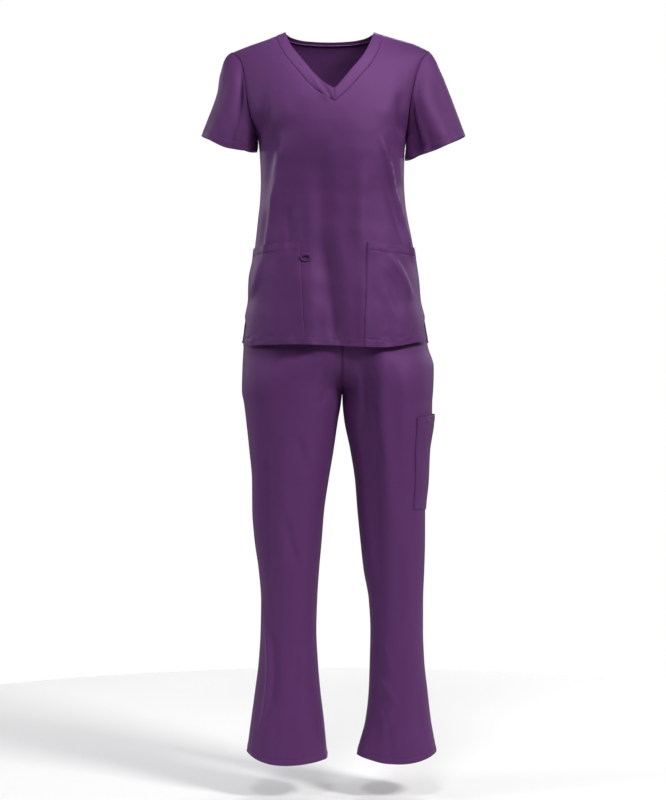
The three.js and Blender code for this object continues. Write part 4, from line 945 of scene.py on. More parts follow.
def column_top(angle, boundary):
    """Height where a column of the torso meets a boundary, by halving an interval."""
    low = np.full(np.shape(angle), UNDERARM)
    high = np.full(np.shape(angle), TORSO[-1, 0])
    for _ in range(36):
        middle = (low + high) / 2
        under = middle < boundary(torso_x(angle, middle))
        low, high = np.where(under, middle, low), np.where(under, high, middle)
    return low


def front_edge_angle(z):
    """How far round the front panel's edge lies: at the side seam, or at the vent's edge."""
    return QUARTER_TURN - VENT_ANGLE * ramp(-z, -VENT_TOP, -VENT_FULL)


def front_hem(x):
    """Height of the front hem over x."""
    return curve(FRONT_HEM, 1, x)


def back_hem(x):
    """Height of the back hem: a parabola over x."""
    return lerp(BACK_HEM_MIDDLE, BACK_HEM_SIDE, (np.abs(x) / BACK_HEM_X) ** 2)


def top_panel(face, boundary, hem, folds, depth):
    """A panel of the top: u goes round it, v up from the hem to the underarm at UNDER_SHARE and
    then, on a cosine, to its upper boundary."""
    def surface(u, v):
        u, v = np.broadcast_arrays(u, v)
        turn = 2 * u - 1 if face < 0 else 1 - 2 * u
        angle = turn * QUARTER_TURN
        low = lerp(hem(torso_x(angle, HEM_X_LEVEL)), UNDERARM, np.minimum(v / UNDER_SHARE, 1))
        share = np.clip((v - UNDER_SHARE) / (1 - UNDER_SHARE), 0, 1)
        high = lerp(UNDERARM, column_top(angle, boundary), (1 - np.cos(math.pi * share)) / 2)
        z = np.where(v <= UNDER_SHARE, low, high)
        if face < 0:
            angle = np.where(v <= UNDER_SHARE, turn * front_edge_angle(z), angle)
        return torso_skin(face, angle, z, folds, depth)
    return surface


NECK_SHARES = np.array([0, 0.008, 0.02, 0.04, 0.06, 0.09, 0.12, 0.16, 0.2, 0.26, 0.32, 0.39, 0.46,
                        0.53, 0.6, 0.68, 0.76, 0.84, 0.9, 0.95, 0.98, 1])
BACK_SHARES = np.array([0, 0.008, 0.02, 0.04, 0.06, 0.1, 0.14, 0.22, 0.3, 0.4, 0.5, 0.6, 0.7, 0.78,
                        0.86, 0.9, 0.94, 0.96, 0.98, 0.992, 1])
ARM_ROWS = 44
HEM_RIM = 1.2


def halved(places):
    """Places with the middle of each gap between them."""
    return np.sort(np.concatenate([places, (places[1:] + places[:-1]) / 2]))


def front_places():
    """Places along the stations of the front neck: close at its ends and at the V."""
    left = lerp(V_STATION, len(NECK) - 1, 1 - NECK_SHARES[::-1])
    return halved(np.concatenate([NECK_SHARES * V_STATION, left[1:]]))


def back_places():
    """Places along the stations of the back neck."""
    return halved(BACK_SHARES * (len(BACK_NECK) - 1))


def neck_columns(rows, seam, places):
    """Columns of a panel through the stations of its neck seam."""
    x = neck_station(rows, places)[2]
    return (torso_angle(x, seam(x)) / QUARTER_TURN + 1) / 2


def panel_columns(neck):
    """Columns of a panel: those of its neck, and even ones on both sides of them."""
    side = steps(count=22, length=170, ends=(True, False))
    return np.unique(np.round(np.concatenate([side * neck[0], neck, 1 - side * (1 - neck[-1])]), 8))


def top_cuts(depth):
    """The surface and the columns of the front and back panels."""
    front = top_panel(-1, panel_top(NECK, front_seam), front_hem, FOLDS["top_front"], depth)
    back = top_panel(1, panel_top(BACK_NECK, back_seam), back_hem, FOLDS["top_back"], depth)
    front_neck = neck_columns(NECK, front_seam, front_places())
    back_neck = 1 - neck_columns(BACK_NECK, back_seam, back_places())[::-1]
    return {"front": (front, panel_columns(front_neck)), "back": (back, panel_columns(back_neck))}


def hem_rows(hem):
    """Distances of the rows at a hem: at its fold, and round its line of stitches."""
    return (0.6, 2, 7, hem - HEM_RIM, hem, hem + HEM_RIM)


def panel_rows(hem):
    """Rows of a panel of the top: close at the hem's fold and stitching, then even."""
    below = steps(count=96, length=430, near=hem_rows(hem), ends=(True, False))
    above = steps(count=ARM_ROWS, length=230, near=(0.8, 2), ends=(False, True))
    return np.unique(np.round(np.concatenate([below * UNDER_SHARE, lerp(UNDER_SHARE, 1, above)]), 8))


def neck_band(face, rows, seam, folds, depth, first, last):
    """A band of the neck: u runs along its stations, v from its seam to its open edge."""
    def surface(u, v):
        edge_x, edge_z, seam_x = neck_station(rows, lerp(first, last, u))
        x = lerp(seam_x, edge_x, v)
        z = np.minimum(lerp(seam(seam_x), edge_z, v), shoulder_z(x))
        return torso_skin(face, torso_angle(x, z), z, folds, depth)
    return surface


def band_height(proud, creases):
    """Height of a neckband over the panel: how much thicker its cloth is, and soft creases that
    fade at its edges and its ends."""
    def height(u, v):
        crease = unevenness(u * 340, v * 9 + u * 60, 9) * np.sin(math.pi * u) ** 0.6
        return proud * ramp(v, 0, 0.12) + creases * v * (1 - v) * crease
    return height


def sleeve_surface(name, depth):
    """A sleeve: angle 0 is the shoulder line, 90 degrees the front, 180 the underarm. The cloth
    leaves the armhole, bends once and runs to the cuff, a quadratic curve of three points. Its
    folds are bells over the angle."""
    cut = SLEEVES[name]
    side = cut["side"]

    def plain(u, v):
        angle = side * 2 * math.pi * (u + 0.5)
        cosine, sine = np.cos(angle), np.sin(angle)
        z = lerp(UNDERARM, column_top(np.array(side * QUARTER_TURN), shoulder_z), (1 + cosine) / 2)
        face = np.where(sine >= 0, -1.0, 1.0)
        front = torso_point(-1, np.full(z.shape, side * QUARTER_TURN), z)
        back = torso_point(1, np.full(z.shape, side * QUARTER_TURN), z)
        hole = np.where((face < 0)[..., None], front, back)
        top, under, flank = np.maximum(0, cosine) ** 2, np.maximum(0, -cosine) ** 2, sine ** 2
        bend = hole + point(
            side * (top * cut["top_x"] + flank * cut["side_x"] + under * 0.8),
            face * flank * cut["side_y"],
            top * cut["top_z"] + flank * cut["side_z"] - under * 9,
        )
        drop = np.where(face < 0, cut["front_drop"], cut["back_drop"])
        cuff = point(
            lerp(cut["inner_x"], cut["outer_x"], (1 + cosine) / 2),
            face * cut["half_depth"] * np.abs(sine),
            lerp(cut["inner_z"], cut["outer_z"], (1 + cosine) / 2) - drop * flank,
        )
        w = v[..., None]
        spot = hole * (1 - w) ** 2 + bend * 2 * w * (1 - w) + cuff * w ** 2
        spot[..., 0] += side * top * curve(cut["outline"], 1, v)
        return spot

    def height(u, v):
        degrees = (np.degrees(side * 2 * math.pi * (u + 0.5)) + 180) % 360 - 180
        ripple = unevenness(degrees * 1.4, v * 200, SLEEVE_RIPPLE[1])
        total = SLEEVE_RIPPLE[0] * ripple * ramp(v, 0, 0.1)
        for start_angle, end_angle, first, last, width, size in SLEEVE_FOLDS[name]:
            at = lerp(start_angle, end_angle, v)
            fade = ramp(v, first, first + 0.3) * (1 - ramp(v, last - 0.3, last))
            away = (degrees - at + 180) % 360 - 180
            total = total + depth * size * fade * bell(away, width)
        return total

    return raised(plain, height)


def top_pocket(name, front):
    """A patch on the front: u runs across it as on the front panel, v from the hem to its top
    edge, and it takes its points from the panel under it."""
    cut = TOP_POCKETS[name]
    outer = 0.0 if cut["side"] < 0 else 1.0

    def level(u):
        return front_hem(torso_x((2 * u - 1) * QUARTER_TURN, HEM_X_LEVEL))

    def inner_column(v):
        z = lerp(level(0.5), UNDERARM, v / UNDER_SHARE)
        share = (z - level(0.5)) / (cut["inner"] - level(0.5))
        x = lerp(cut["inner_hem"], cut["inner_top"], share)
        return (torso_angle(x, z) / front_edge_angle(z) + 1) / 2

    def place(u, v):
        top_u = lerp(inner_column(0.29), outer, u)
        bow = cut["middle"] - (cut["inner"] + cut["outer"]) / 2
        z = lerp(cut["inner"], cut["outer"], u) + 4 * bow * u * (1 - u)
        top_v = UNDER_SHARE * (z - level(top_u)) / (UNDERARM - level(top_u))
        down = top_v * v
        return lerp(inner_column(down), outer, u), down

    def surface(u, v):
        u, v = np.broadcast_arrays(u, v)
        return front(*place(1 - u if cut["side"] < 0 else u, v))
    return surface


def pocket_height(u, v):
    """Height of a pocket over the panel: it stands off towards the middle of its top edge."""
    middle = np.sin(math.pi * np.clip(u, 0, 1)) ** 0.7
    return POCKET_LAY + POCKET_STAND * ramp(v, 0.8, 1) * middle


# Forms of the trousers

def centre_rise(z):
    """How far the centre seam stands off the crotch: 0 at the crotch and 1 above the rise."""
    below = np.clip((RISE_TOP - z) / (RISE_TOP - CROTCH), 0, 1)
    return (1 - below ** RISE_POWER) ** RISE_CLOSING


def leg_point(name, turn, z):
    """Turn 0 is a leg's outer side, 90 degrees its front, 180 the inside and 270 the back.
    Below the crotch a section is a superellipse. Above, it grows past the centre plane, which
    cuts it at the centre seam, until it is half of the hip's ring. The share of that growth is
    the smooth step of the centre seam's rise. Just above the crotch the two legs overlap."""
    table = LEGS[name]
    outer, inner = curve(table, 1, z), curve(table, 2, z)
    low, grown, held, gone = (CROTCH + height for height in OVERLAP_HEIGHTS)
    join = ramp(z, low, grown) * (1 - ramp(z, held, gone))
    inner = inner + OVERLAP * join * np.sign(inner - outer)
    front = np.sin(turn) >= 0
    depth = np.where(front, curve(table, 3, z), curve(table, 4, z))
    cut = (1 - ramp(centre_rise(z) ** HIP_POWER, 0, 1)) ** (1 / HIP_POWER)
    half = (inner - outer) / (1 + cut)
    last = np.arccos(-(cut ** (HIP_POWER / 2)))
    angle = np.arccos(np.cos(turn)) * last / math.pi
    x = outer + half * (1 - signed_power(np.cos(angle), 2 / HIP_POWER))
    return point(x, np.where(front, -1, 1) * depth * np.abs(np.sin(angle)) ** (2 / HIP_POWER), z)


def leg_skin(name, turn, z, folds, fade):
    """The leg moved by its folds along the section's horizontal normal."""
    here = leg_point(name, turn, z)
    around = leg_point(name, turn + 1e-4, z) - leg_point(name, turn - 1e-4, z)
    normal = point(-around[..., 1], around[..., 0], 0 * around[..., 0])
    normal = normal / np.maximum(np.linalg.norm(normal, axis=-1, keepdims=True), 1e-12)
    side = -1 if name == "right" else 1
    relief = fold_relief(folds, here[..., 0], z) * normal[..., 1] ** 2 if folds else np.zeros(z.shape)
    return here + normal * (side * relief * fade)[..., None]


def leg_hem(name, turn):
    """Height of a leg's hem round the leg: a cosine between its sides, and its front or back
    level by the square of the sine."""
    outer, inner, front, back = LEG_HEMS[name]
    low = np.where(np.sin(turn) >= 0, front, back)
    return lerp(lerp(inner, outer, (1 + np.cos(turn)) / 2), low, np.sin(turn) ** 2)


def leg_level(name, turn, v):
    """Level of a leg's rows: even below the crotch, closer just above it."""
    level = lerp(LEG_LEVEL, CROTCH, np.minimum(v / CROTCH_SHARE, 1))
    level = level + (leg_hem(name, turn) - LEG_LEVEL) * (1 - ramp(level - LEG_LEVEL, 0, HEM_REACH))
    share = np.clip((v - CROTCH_SHARE) / (1 - CROTCH_SHARE), 0, 1)
    upper = lerp(CROTCH, WAIST_BOTTOM, 1 - np.cos(share * QUARTER_TURN))
    return np.where(v <= CROTCH_SHARE, level, upper)


def slash_back(z):
    """How far the front panel is cut back at the side pocket: an arch over the level."""
    middle, half = (SLASH["top"] + SLASH["bottom"]) / 2, (SLASH["top"] - SLASH["bottom"]) / 2
    share = np.clip(np.abs(z - middle) / half, 0, 1)
    return SLASH["depth"] * (1 - share * share) ** 0.7


def leg_panel(name, face, folds, depth):
    """A panel of a leg: u goes round it between its seams, v upwards. Its folds fade out at the
    seams."""
    side = -1 if name == "right" else 1

    def surface(u, v):
        u, v = np.broadcast_arrays(u, v)
        share = u if side < 0 else 1 - u
        middle = QUARTER_TURN if face < 0 else 3 * QUARTER_TURN
        rough = leg_level(name, np.full(u.shape, middle), v)
        seam = math.pi - np.radians(curve(LEGS[name], 5, rough))
        first = slash_back(rough) if face < 0 else seam
        last = seam if face < 0 else np.full(u.shape, 2 * math.pi)
        turn = lerp(first, last, share)
        z = leg_level(name, turn, v)
        calm = 1 - np.abs(2 * share - 1) ** 8
        skin = leg_skin(name, turn, z, folds, depth * calm)
        ripple = LEG_RIPPLE[0] * unevenness(skin[..., 0] + 40 * face, z, LEG_RIPPLE[1])
        skin[..., 1] += face * ripple * calm
        return skin
    return surface


def leg_rows():
    """Rows of a leg: close at the hem's fold and stitching, then even, and closer at the crotch."""
    below = steps(count=118, length=768, near=(0.6, 2, 6, 10.8, 12, 13.2), ends=(True, False))
    above = steps(count=46, length=225, near=(0.8, 2), ends=(False, True))
    return np.unique(np.round(np.concatenate([below * CROTCH_SHARE, lerp(CROTCH_SHARE, 1, above)]), 8))


def facing_surface(name):
    """The strip of cloth under a side pocket's opening."""
    side = -1 if name == "right" else 1

    def surface(u, v):
        u, v = np.broadcast_arrays(u, v)
        share = u if side < 0 else 1 - u
        z = lerp(SLASH["bottom"] - SLASH["reach"], SLASH["top"] + SLASH["reach"], v)
        turn = lerp(SLASH["start"], SLASH["cover"] + slash_back(z), share)
        return leg_skin(name, turn, z, None, 0)
    return surface


def waist_surface(u, v):
    """The waistband: a superellipse ring, gathered by its elastic into small waves."""
    u, v = np.broadcast_arrays(u, v)
    angle = 2 * math.pi * u
    z = lerp(WAIST_BOTTOM, WAIST_TOP, v)
    left = np.cos(angle) >= 0
    outer = np.where(left, curve(LEGS["left"], 1, z), curve(LEGS["right"], 1, z))
    depth = np.where(np.sin(angle) >= 0, curve(LEGS["left"], 4, z), curve(LEGS["left"], 3, z))
    shift = GATHER["shift"] * np.sin(GATHER["shift_waves"] * angle)
    gather = 1 + GATHER["height"] * np.sin(GATHER["waves"] * angle + shift) * np.sin(math.pi * v)
    return point(
        CENTRE_X + gather * np.abs(outer - CENTRE_X) * signed_power(np.cos(angle), 2 / HIP_POWER),
        gather * depth * signed_power(np.sin(angle), 2 / HIP_POWER),
        z,
    )


def cargo_surface(depth):
    """The cargo pocket: a patch over the side seam of the left leg that stands off at its top."""
    seam_share = CARGO["front"] / (CARGO["front"] - CARGO["back"])

    def surface(u, v):
        u, v = np.broadcast_arrays(u, v)
        turn = lerp(CARGO["front"], CARGO["back"], u)
        share = np.clip(u / seam_share, 0, 1)
        foot = lerp(CARGO["bottom_front"], CARGO["bottom_side"], share)
        head = lerp(CARGO["top_front"], CARGO["top_side"], share)
        return leg_skin("left", turn, lerp(foot, head, v), None, 0)

    def height(u, v):
        stand = CARGO["stand_off"] * ramp(v, CARGO["stand_from"], 1) * np.sin(math.pi * u) ** 0.8
        slack = CARGO["slack"] * depth * fold_relief(FOLDS["cargo_pocket"], u, v)
        calm = np.sin(math.pi * u) * np.sin(math.pi * v) ** 0.5
        return CARGO["lay"] + WALL + stand + slack * calm
    return raised(surface, height)


# Settings

class ScrubsClothSettings(bpy.types.PropertyGroup):
    """Sizes and colours of the cloth."""
    wall: bpy.props.FloatProperty(
        name="Cloth", description="Thickness of one layer of cloth", default=0.0011, min=0.0005, max=0.003,
        unit="LENGTH")
    band_wall: bpy.props.FloatProperty(
        name="Neckband", description="Thickness of the doubled neckband", default=0.0016, min=0.0005,
        max=0.004, unit="LENGTH")
    waist_wall: bpy.props.FloatProperty(
        name="Waistband", description="Thickness of the waistband round its elastic", default=0.0026,
        min=0.001, max=0.005, unit="LENGTH")
    hem: bpy.props.FloatProperty(
        name="Top hem", description="Height of the turned hem of the top and sleeves", default=0.015,
        min=0.005, max=0.03, unit="LENGTH")
    leg_hem: bpy.props.FloatProperty(
        name="Leg hem", description="Height of the turned hem of the legs", default=0.012, min=0.005,
        max=0.03, unit="LENGTH")
    fold_depth: bpy.props.FloatProperty(
        name="Fold depth", description="Depth of the folds as a share of the drawn one", default=1.0,
        min=0.0, max=1.5, subtype="FACTOR")
    roughness: bpy.props.FloatProperty(
        name="Roughness", description="Roughness of the cloth", default=0.58, min=0.0, max=1.0,
        subtype="FACTOR")
    top_colour: bpy.props.FloatVectorProperty(
        name="Top", description="Colour of the top's cloth", default=(0.078, 0.0242, 0.101), min=0, max=1,
        subtype="COLOR")
    band_colour: bpy.props.FloatVectorProperty(
        name="Neckband", description="Colour of the neckband's cloth", default=(0.079, 0.0246, 0.102), min=0,
        max=1, subtype="COLOR")
    trouser_colour: bpy.props.FloatVectorProperty(
        name="Trousers", description="Colour of the trousers' cloth", default=(0.090, 0.0278, 0.115), min=0,
        max=1, subtype="COLOR")
    thread_colour: bpy.props.FloatVectorProperty(
        name="Thread", description="Colour of the sewing thread", default=(0.105, 0.038, 0.135), min=0, max=1,
        subtype="COLOR")


class ScrubsStageSettings(bpy.types.PropertyGroup):
    """Floor, lights and camera."""
    floor_level: bpy.props.FloatProperty(
        name="Floor", description="Height of the floor", default=-1.6, unit="LENGTH")
    key_power: bpy.props.FloatProperty(
        name="Key light", description="Power of the large light at the front", default=124.0, min=0,
        unit="POWER")
    fill_power: bpy.props.FloatProperty(
        name="Fill light", description="Power of the light at the other side", default=28.0, min=0,
        unit="POWER")
    front_power: bpy.props.FloatProperty(
        name="Front light", description="Power of the light above the camera", default=42.0, min=0,
        unit="POWER")
    neck_power: bpy.props.FloatProperty(
        name="Neck light", description="Power of the small light over the neck", default=0.26, min=0,
        unit="POWER")
    back_power: bpy.props.FloatProperty(
        name="Back light", description="Power of the light behind the set", default=60.0, min=0,
        unit="POWER")
    rim_power: bpy.props.FloatProperty(
        name="Rim lights", description="Power of each light behind the set", default=18.0, min=0,
        unit="POWER")
    surround: bpy.props.FloatProperty(
        name="Surround", description="Brightness of the white surround", default=0.12, min=0, max=2,
        subtype="FACTOR")
    distance: bpy.props.FloatProperty(
        name="Camera", description="Distance of the camera from the set", default=3.6, min=1, unit="LENGTH")


# Operators

class ScrubsPanels(bpy.types.Operator):
    """Front and back panels of the top"""
    bl_idname = "scrubs.top_panels"
    bl_label = "Top panels"
    bl_options = {"REGISTER", "UNDO"}

    def execute(self, context):
        s = context.scene.scrubs_cloth
        hem = s.hem / MM
        vents = [(edge, VENT_STITCH, 0.0, VENT_SHARE) for edge in ("u0", "u1")]
        beside = {"front": "back", "back": "front"}
        for side, (surface, columns) in top_cuts(s.fold_depth).items():
            make_piece(
                s, f"top_{side}", "top", Piece(surface, columns, panel_rows(hem), False),
                [f"cloth_top_{beside[side]}"], seams=("u0", "u1", "v1"), hems=[("v0", hem, 0.8)],
                grooves=[("v0", hem)], threads=[("v0", hem)] + vents, top=UNDER_SHARE)
        return {"FINISHED"}


class ScrubsNeckbands(bpy.types.Operator):
    """V band of the front neck and binding of the back neck"""
    bl_idname = "scrubs.neckbands"
    bl_label = "Neckbands"
    bl_options = {"REGISTER", "UNDO"}

    def execute(self, context):
        s = context.scene.scrubs_cloth
        end, back_end = len(NECK) - 1, len(BACK_NECK) - 1
        front = front_places()
        right = front[front <= V_STATION] / V_STATION
        left = (front[front >= V_STATION] - V_STATION) / (end - V_STATION)
        back = 1 - back_places()[::-1] / back_end
        edge_row, seam_row = ("v1", BAND_EDGE_STITCH), ("v0", BAND_SEAM_STITCH)
        # Face, stations, seam, first and last station, columns, width, creases, rows of thread
        cuts = {
            "front_right": (-1, NECK, front_seam, 0, V_STATION, right, 22, 1.1, [edge_row, seam_row]),
            "front_left": (-1, NECK, front_seam, V_STATION, end, left, 22, 0.5, [edge_row, seam_row]),
            "back": (1, BACK_NECK, back_seam, back_end, 0, back, 8, 0.5, [edge_row]),
        }
        for name, (face, rows, seam, start, stop, columns, width, creases, threads) in cuts.items():
            folds = FOLDS["top_front" if face < 0 else "top_back"]
            plain = neck_band(face, rows, seam, folds, s.fold_depth, start, stop)
            surface = raised(plain, band_height((s.band_wall - s.wall) / MM, creases))
            make_piece(
                s, f"neckband_{name}", "band",
                Piece(surface, columns, steps(count=10, length=width, near=(0.5, 1.5)), False),
                ["cloth_top_front", "cloth_top_back"], seams=("u0", "u1", "v0"),
                grooves=[("v1", BAND_EDGE_GROOVE)], threads=threads, wall=s.band_wall)
        return {"FINISHED"}


class ScrubsSleeves(bpy.types.Operator):
    """Short sleeves with their hems"""
    bl_idname = "scrubs.sleeves"
    bl_label = "Sleeves"
    bl_options = {"REGISTER", "UNDO"}

    def execute(self, context):
        s = context.scene.scrubs_cloth
        hem, length = s.hem / MM, 175
        rows = steps(count=46, length=length, near=hem_rows(hem), ends=(False, True))
        rows = np.union1d(rows, np.array(SEAM_ROWS) / length)
        columns = np.linspace(0, 1, 2 * ARM_ROWS + 1)
        for name in ("right", "left"):
            make_piece(
                s, f"sleeve_{name}", "top", Piece(sleeve_surface(name, s.fold_depth), columns, rows, True),
                ["cloth_top_front", "cloth_top_back"], seams=("v0",), hems=[("v1", hem, 0.7)],
                grooves=[("v1", hem)], threads=[("v1", hem)], under=SLEEVE_UNDER)
        return {"FINISHED"}


class ScrubsTopPockets(bpy.types.Operator):
    """Patch pockets of the top"""
    bl_idname = "scrubs.top_pockets"
    bl_label = "Top pockets"
    bl_options = {"REGISTER", "UNDO"}

    def execute(self, context):
        s = context.scene.scrubs_cloth
        hem = s.hem / MM
        front = top_cuts(s.fold_depth)["front"][0]
        columns = steps(count=44, length=110, near=(0.5, 1.4, 2.4, 6.4, 7.6))
        rows = steps(count=56, length=205, near=(0.5, 1.4, 7, 13.8, 15, 16.2, 17.6, 19))
        for name, inner in (("right", "u1"), ("left", "u0")):
            lines = [("v1", distance) for distance in POCKET_HEM_STITCHES]
            lines += [(inner, distance) for distance in POCKET_EDGE_STITCHES] + [("v0", hem)]
            make_piece(
                s, f"pocket_{name}", "top",
                Piece(raised(top_pocket(name, front), pocket_height), columns, rows, False),
                ["cloth_top_front"], seams=(inner,), hems=[("v1", 16, 0.5), ("v0", hem, 0.7)],
                grooves=lines, threads=lines)
        return {"FINISHED"}


class ScrubsBadgeLoop(bpy.types.Operator):
    """Loop for a badge beside the right pocket"""
    bl_idname = "scrubs.badge_loop"
    bl_label = "Badge loop"
    bl_options = {"REGISTER", "UNDO"}

    def execute(self, context):
        s = context.scene.scrubs_cloth
        cut, pocket = BADGE_LOOP, TOP_POCKETS["right"]
        edge = lerp(pocket["inner_top"], pocket["inner_hem"], cut["share"])
        x = edge + cut["half_width"] + cut["cord"] + cut["beside"]
        ends = np.array([x - cut["half_width"], x + cut["half_width"]])
        level = np.full(2, float(cut["z"]))
        cloth = torso_skin(-1, torso_angle(ends, level), level, FOLDS["top_front"], s.fold_depth)
        slope = (cloth[1, 1] - cloth[0, 1]) / (cloth[1, 0] - cloth[0, 0])
        y = cloth[:, 1].mean() - cut["cord"] - cut["clear"]

        def ring(u, v):
            """An oval ring with a flat oval section that is widest at its upper side."""
            around, about = 2 * math.pi * u, 2 * math.pi * v
            wide = (cut["strip"] + cut["swell"] * np.sin(around)) * np.cos(about)
            px = cut["half_width"] * np.cos(around) * (1 + wide / cut["spread_x"])
            pz = cut["half_height"] * np.sin(around) * (1 + wide / cut["spread_z"])
            out = cut["thick"] * np.sin(about) + cut["tilt"] * np.sin(around)
            return point(x + px, y + slope * px - out, cut["z"] + pz)

        count, section = cut["columns"], cut["section"]
        i, j = np.meshgrid(np.arange(count), np.arange(section), indexing="ij")
        verts = ring(i / count, j / section).reshape(-1, 3)
        n, m = (i + 1) % count, (j + 1) % section
        faces = np.stack([i * section + m, n * section + m, n * section + j, i * section + j], -1)
        faces = faces.reshape(-1, 4)
        mesh = bpy.data.meshes.new("cloth_badge_loop")
        mesh.from_pydata((verts * MM).tolist(), [], faces.tolist())
        uv = np.stack([i / count * 50, j / section * 12], -1).reshape(-1, 2)[faces.ravel()] * MM
        mesh.uv_layers.new(name="cloth").data.foreach_set("uv", uv.ravel())
        for label in ("seam", "stitch"):
            mesh.attributes.new(label, "FLOAT", "POINT").data.foreach_set("value", np.ones(len(verts)))
        obj = finish_mesh("cloth_badge_loop", mesh, cloth_for(s, "top"))
        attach(obj, "root")
        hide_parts("badge_loop")
        return {"FINISHED"}


class ScrubsWaist(bpy.types.Operator):
    """Elastic waistband and the facings of the side pockets"""
    bl_idname = "scrubs.waist"
    bl_label = "Waistband and facings"
    bl_options = {"REGISTER", "UNDO"}

    def execute(self, context):
        s = context.scene.scrubs_cloth
        rows = steps(count=12, length=40, near=(0.6, 2))
        lines = [("v1", distance) for distance in WAIST_STITCHES]
        make_piece(
            s, "waistband", "trouser", Piece(waist_surface, np.linspace(0, 1, 721), rows, True),
            ["cloth_leg_front_right"], seams=("v0",), grooves=lines, threads=lines, wall=s.waist_wall,
            held="gathered")
        for name in ("right", "left"):
            strip = raised(facing_surface(name), -WALL - SLASH["sink"])
            make_piece(
                s, f"facing_{name}", "trouser",
                Piece(strip, steps(count=12, length=45), steps(count=40, length=200), False),
                [f"cloth_leg_front_{name}"], grooves=[("v1", FACING_STITCH)])
        return {"FINISHED"}


class ScrubsLegs(bpy.types.Operator):
    """Front and back panels of both legs"""
    bl_idname = "scrubs.legs"
    bl_label = "Legs"
    bl_options = {"REGISTER", "UNDO"}

    def execute(self, context):
        s = context.scene.scrubs_cloth
        hem = s.leg_hem / MM
        columns, rows = steps(count=62, length=250), leg_rows()
        for name, outer in (("right", "u0"), ("left", "u1")):
            slash = [(outer, distance, *SLASH_SHARES) for distance in SLASH_STITCHES]
            for face, side in ((-1, "front"), (1, "back")):
                panel = leg_panel(name, face, FOLDS[f"leg_{side}_{name}"], s.fold_depth)
                make_piece(
                    s, f"leg_{side}_{name}", "trouser", Piece(panel, columns, rows, False),
                    ["cloth_waistband"], seams=("u0", "u1", "v1"), hems=[("v0", hem, 0.8)],
                    grooves=[("v0", hem)], threads=[("v0", hem)] + (slash if face < 0 else []))
        return {"FINISHED"}


class ScrubsCargoPocket(bpy.types.Operator):
    """Cargo pocket on the left thigh"""
    bl_idname = "scrubs.cargo_pocket"
    bl_label = "Cargo pocket"
    bl_options = {"REGISTER", "UNDO"}

    def execute(self, context):
        s = context.scene.scrubs_cloth
        columns = steps(count=52, length=170, near=(0.5, 1.4, 2.4, 6, 7))
        rows = steps(count=60, length=205, near=(0.5, 1.4, 2.4, 5, 6, 7, 12, 13, 14, 16))
        lines = [(edge, distance) for edge in ("u0", "u1", "v0") for distance in CARGO_EDGE_STITCHES]
        lines += [("v1", distance) for distance in CARGO_HEM_STITCHES]
        make_piece(
            s, "cargo_pocket", "trouser", Piece(cargo_surface(s.fold_depth), columns, rows, False),
            ["cloth_leg_front_left", "cloth_leg_back_left"], seams=("u0", "u1", "v0"),
            hems=[("v1", CARGO_HEM, 0.7)], grooves=lines, threads=lines)
        return {"FINISHED"}


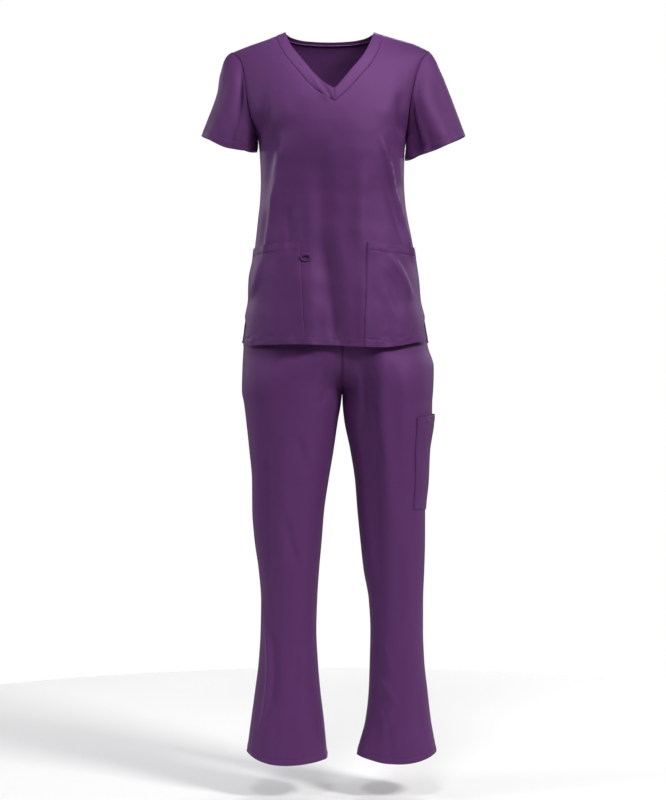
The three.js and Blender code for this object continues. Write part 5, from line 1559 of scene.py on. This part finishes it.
class ScrubsStage(bpy.types.Operator):
    """Pale floor, soft lights and the camera"""
    bl_idname = "scrubs.stage"
    bl_label = "Stage"
    bl_options = {"REGISTER", "UNDO"}

    def execute(self, context):
        s = context.scene.scrubs_stage
        scene = context.scene
        angle = np.arange(FLOOR_SIDES) * 2 * math.pi / FLOOR_SIDES
        rim = point(FLOOR_RADIUS * np.cos(angle), FLOOR_RADIUS * np.sin(angle), s.floor_level)
        mesh = bpy.data.meshes.new("floor")
        mesh.from_pydata(rim.tolist(), [], [list(range(FLOOR_SIDES))])
        paint = bpy.data.materials.new("floor_paint")
        paint.use_nodes = True
        tree = paint.node_tree
        shader = tree.nodes["Principled BSDF"]
        grain = link_chain(tree, "ShaderNodeTexNoise", Scale=3.0, Detail=2.0)
        tone = link_chain(tree, "ShaderNodeMix", data_type="RGBA", i0=grain.outputs["Fac"])
        tone.inputs[6].default_value = (0.86, 0.86, 0.87, 1)
        tone.inputs[7].default_value = (0.9, 0.9, 0.9, 1)
        tree.links.new(tone.outputs[2], shader.inputs["Base Color"])
        shader.inputs["Roughness"].default_value = 0.9
        mesh.materials.append(paint)
        floor = bpy.data.objects.new("floor", mesh)
        scene.collection.objects.link(floor)

        for name, (place, aim, size, power, colour, spread) in LIGHTS.items():
            data = bpy.data.lights.new(name, "AREA")
            data.spread = math.radians(spread)
            data.size = size
            data.energy = getattr(s, power)
            data.color = colour
            lamp = bpy.data.objects.new(name, data)
            lamp.location = place
            away = np.array(place) - np.array(aim)
            flat = math.hypot(away[0], away[1])
            lamp.rotation_euler = (math.atan2(flat, away[2]), 0, math.atan2(away[0], -away[1]))
            scene.collection.objects.link(lamp)

        world = bpy.data.worlds.new("white_surround")
        world.use_nodes = True
        tree = world.node_tree
        tree.nodes.clear()
        path = tree.nodes.new("ShaderNodeLightPath")
        strength = link_chain(tree, "ShaderNodeMapRange", Value=path.outputs["Is Camera Ray"])
        strength.inputs["To Min"].default_value = s.surround
        strength.inputs["To Max"].default_value = 1.0
        background = link_chain(tree, "ShaderNodeBackground", Strength=strength.outputs[0])
        background.inputs["Color"].default_value = (1, 1, 1, 1)
        output = tree.nodes.new("ShaderNodeOutputWorld")
        tree.links.new(background.outputs[0], output.inputs[0])
        scene.world = world

        data = bpy.data.cameras.new("camera")
        data.lens = CAMERA_LENS
        data.sensor_width = CAMERA_SENSOR
        data.clip_end = CAMERA_REACH
        camera = bpy.data.objects.new("camera", data)
        camera.location = (0, -s.distance, CAMERA_LEVEL)
        camera.rotation_euler = (QUARTER_TURN, 0, 0)
        scene.collection.objects.link(camera)
        scene.camera = camera
        scene.view_settings.view_transform = "Standard"
        return {"FINISHED"}


class ScrubsPanel(bpy.types.Panel):
    """Lists the pieces and their settings"""
    bl_idname = "VIEW3D_PT_scrubs"
    bl_label = "Medical scrubs"
    bl_space_type = "VIEW_3D"
    bl_region_type = "UI"
    bl_category = "Scrubs"

    def draw(self, context):
        layout = self.layout
        cloth, stage = context.scene.scrubs_cloth, context.scene.scrubs_stage
        for name in ("wall", "band_wall", "waist_wall", "hem", "leg_hem", "fold_depth", "roughness",
                     "top_colour", "band_colour", "trouser_colour", "thread_colour"):
            layout.prop(cloth, name)
        for name in ("floor_level", "key_power", "fill_power", "front_power", "neck_power", "back_power",
                     "rim_power", "surround", "distance"):
            layout.prop(stage, name)
        for operator in OPERATORS:
            layout.operator(operator.bl_idname)


OPERATORS = (
    ScrubsPanels, ScrubsNeckbands, ScrubsSleeves, ScrubsTopPockets, ScrubsBadgeLoop, ScrubsWaist,
    ScrubsLegs, ScrubsCargoPocket, ScrubsStage,
)
CLASSES = (ScrubsClothSettings, ScrubsStageSettings) + OPERATORS + (ScrubsPanel,)


def register():
    """Registers the classes and puts the settings on the scene."""
    for cls in CLASSES:
        bpy.utils.register_class(cls)
    bpy.types.Scene.scrubs_cloth = bpy.props.PointerProperty(type=ScrubsClothSettings)
    bpy.types.Scene.scrubs_stage = bpy.props.PointerProperty(type=ScrubsStageSettings)


def unregister():
    """Takes the settings and the classes away again."""
    del bpy.types.Scene.scrubs_stage
    del bpy.types.Scene.scrubs_cloth
    for cls in reversed(CLASSES):
        bpy.utils.unregister_class(cls)


def main():
    """Builds every piece and the stage."""
    register()
    for operator in (
        bpy.ops.scrubs.top_panels, bpy.ops.scrubs.neckbands, bpy.ops.scrubs.sleeves,
        bpy.ops.scrubs.top_pockets, bpy.ops.scrubs.badge_loop, bpy.ops.scrubs.waist,
        bpy.ops.scrubs.legs, bpy.ops.scrubs.cargo_pocket, bpy.ops.scrubs.stage,
    ):
        operator()


if __name__ == "__main__":
    main()
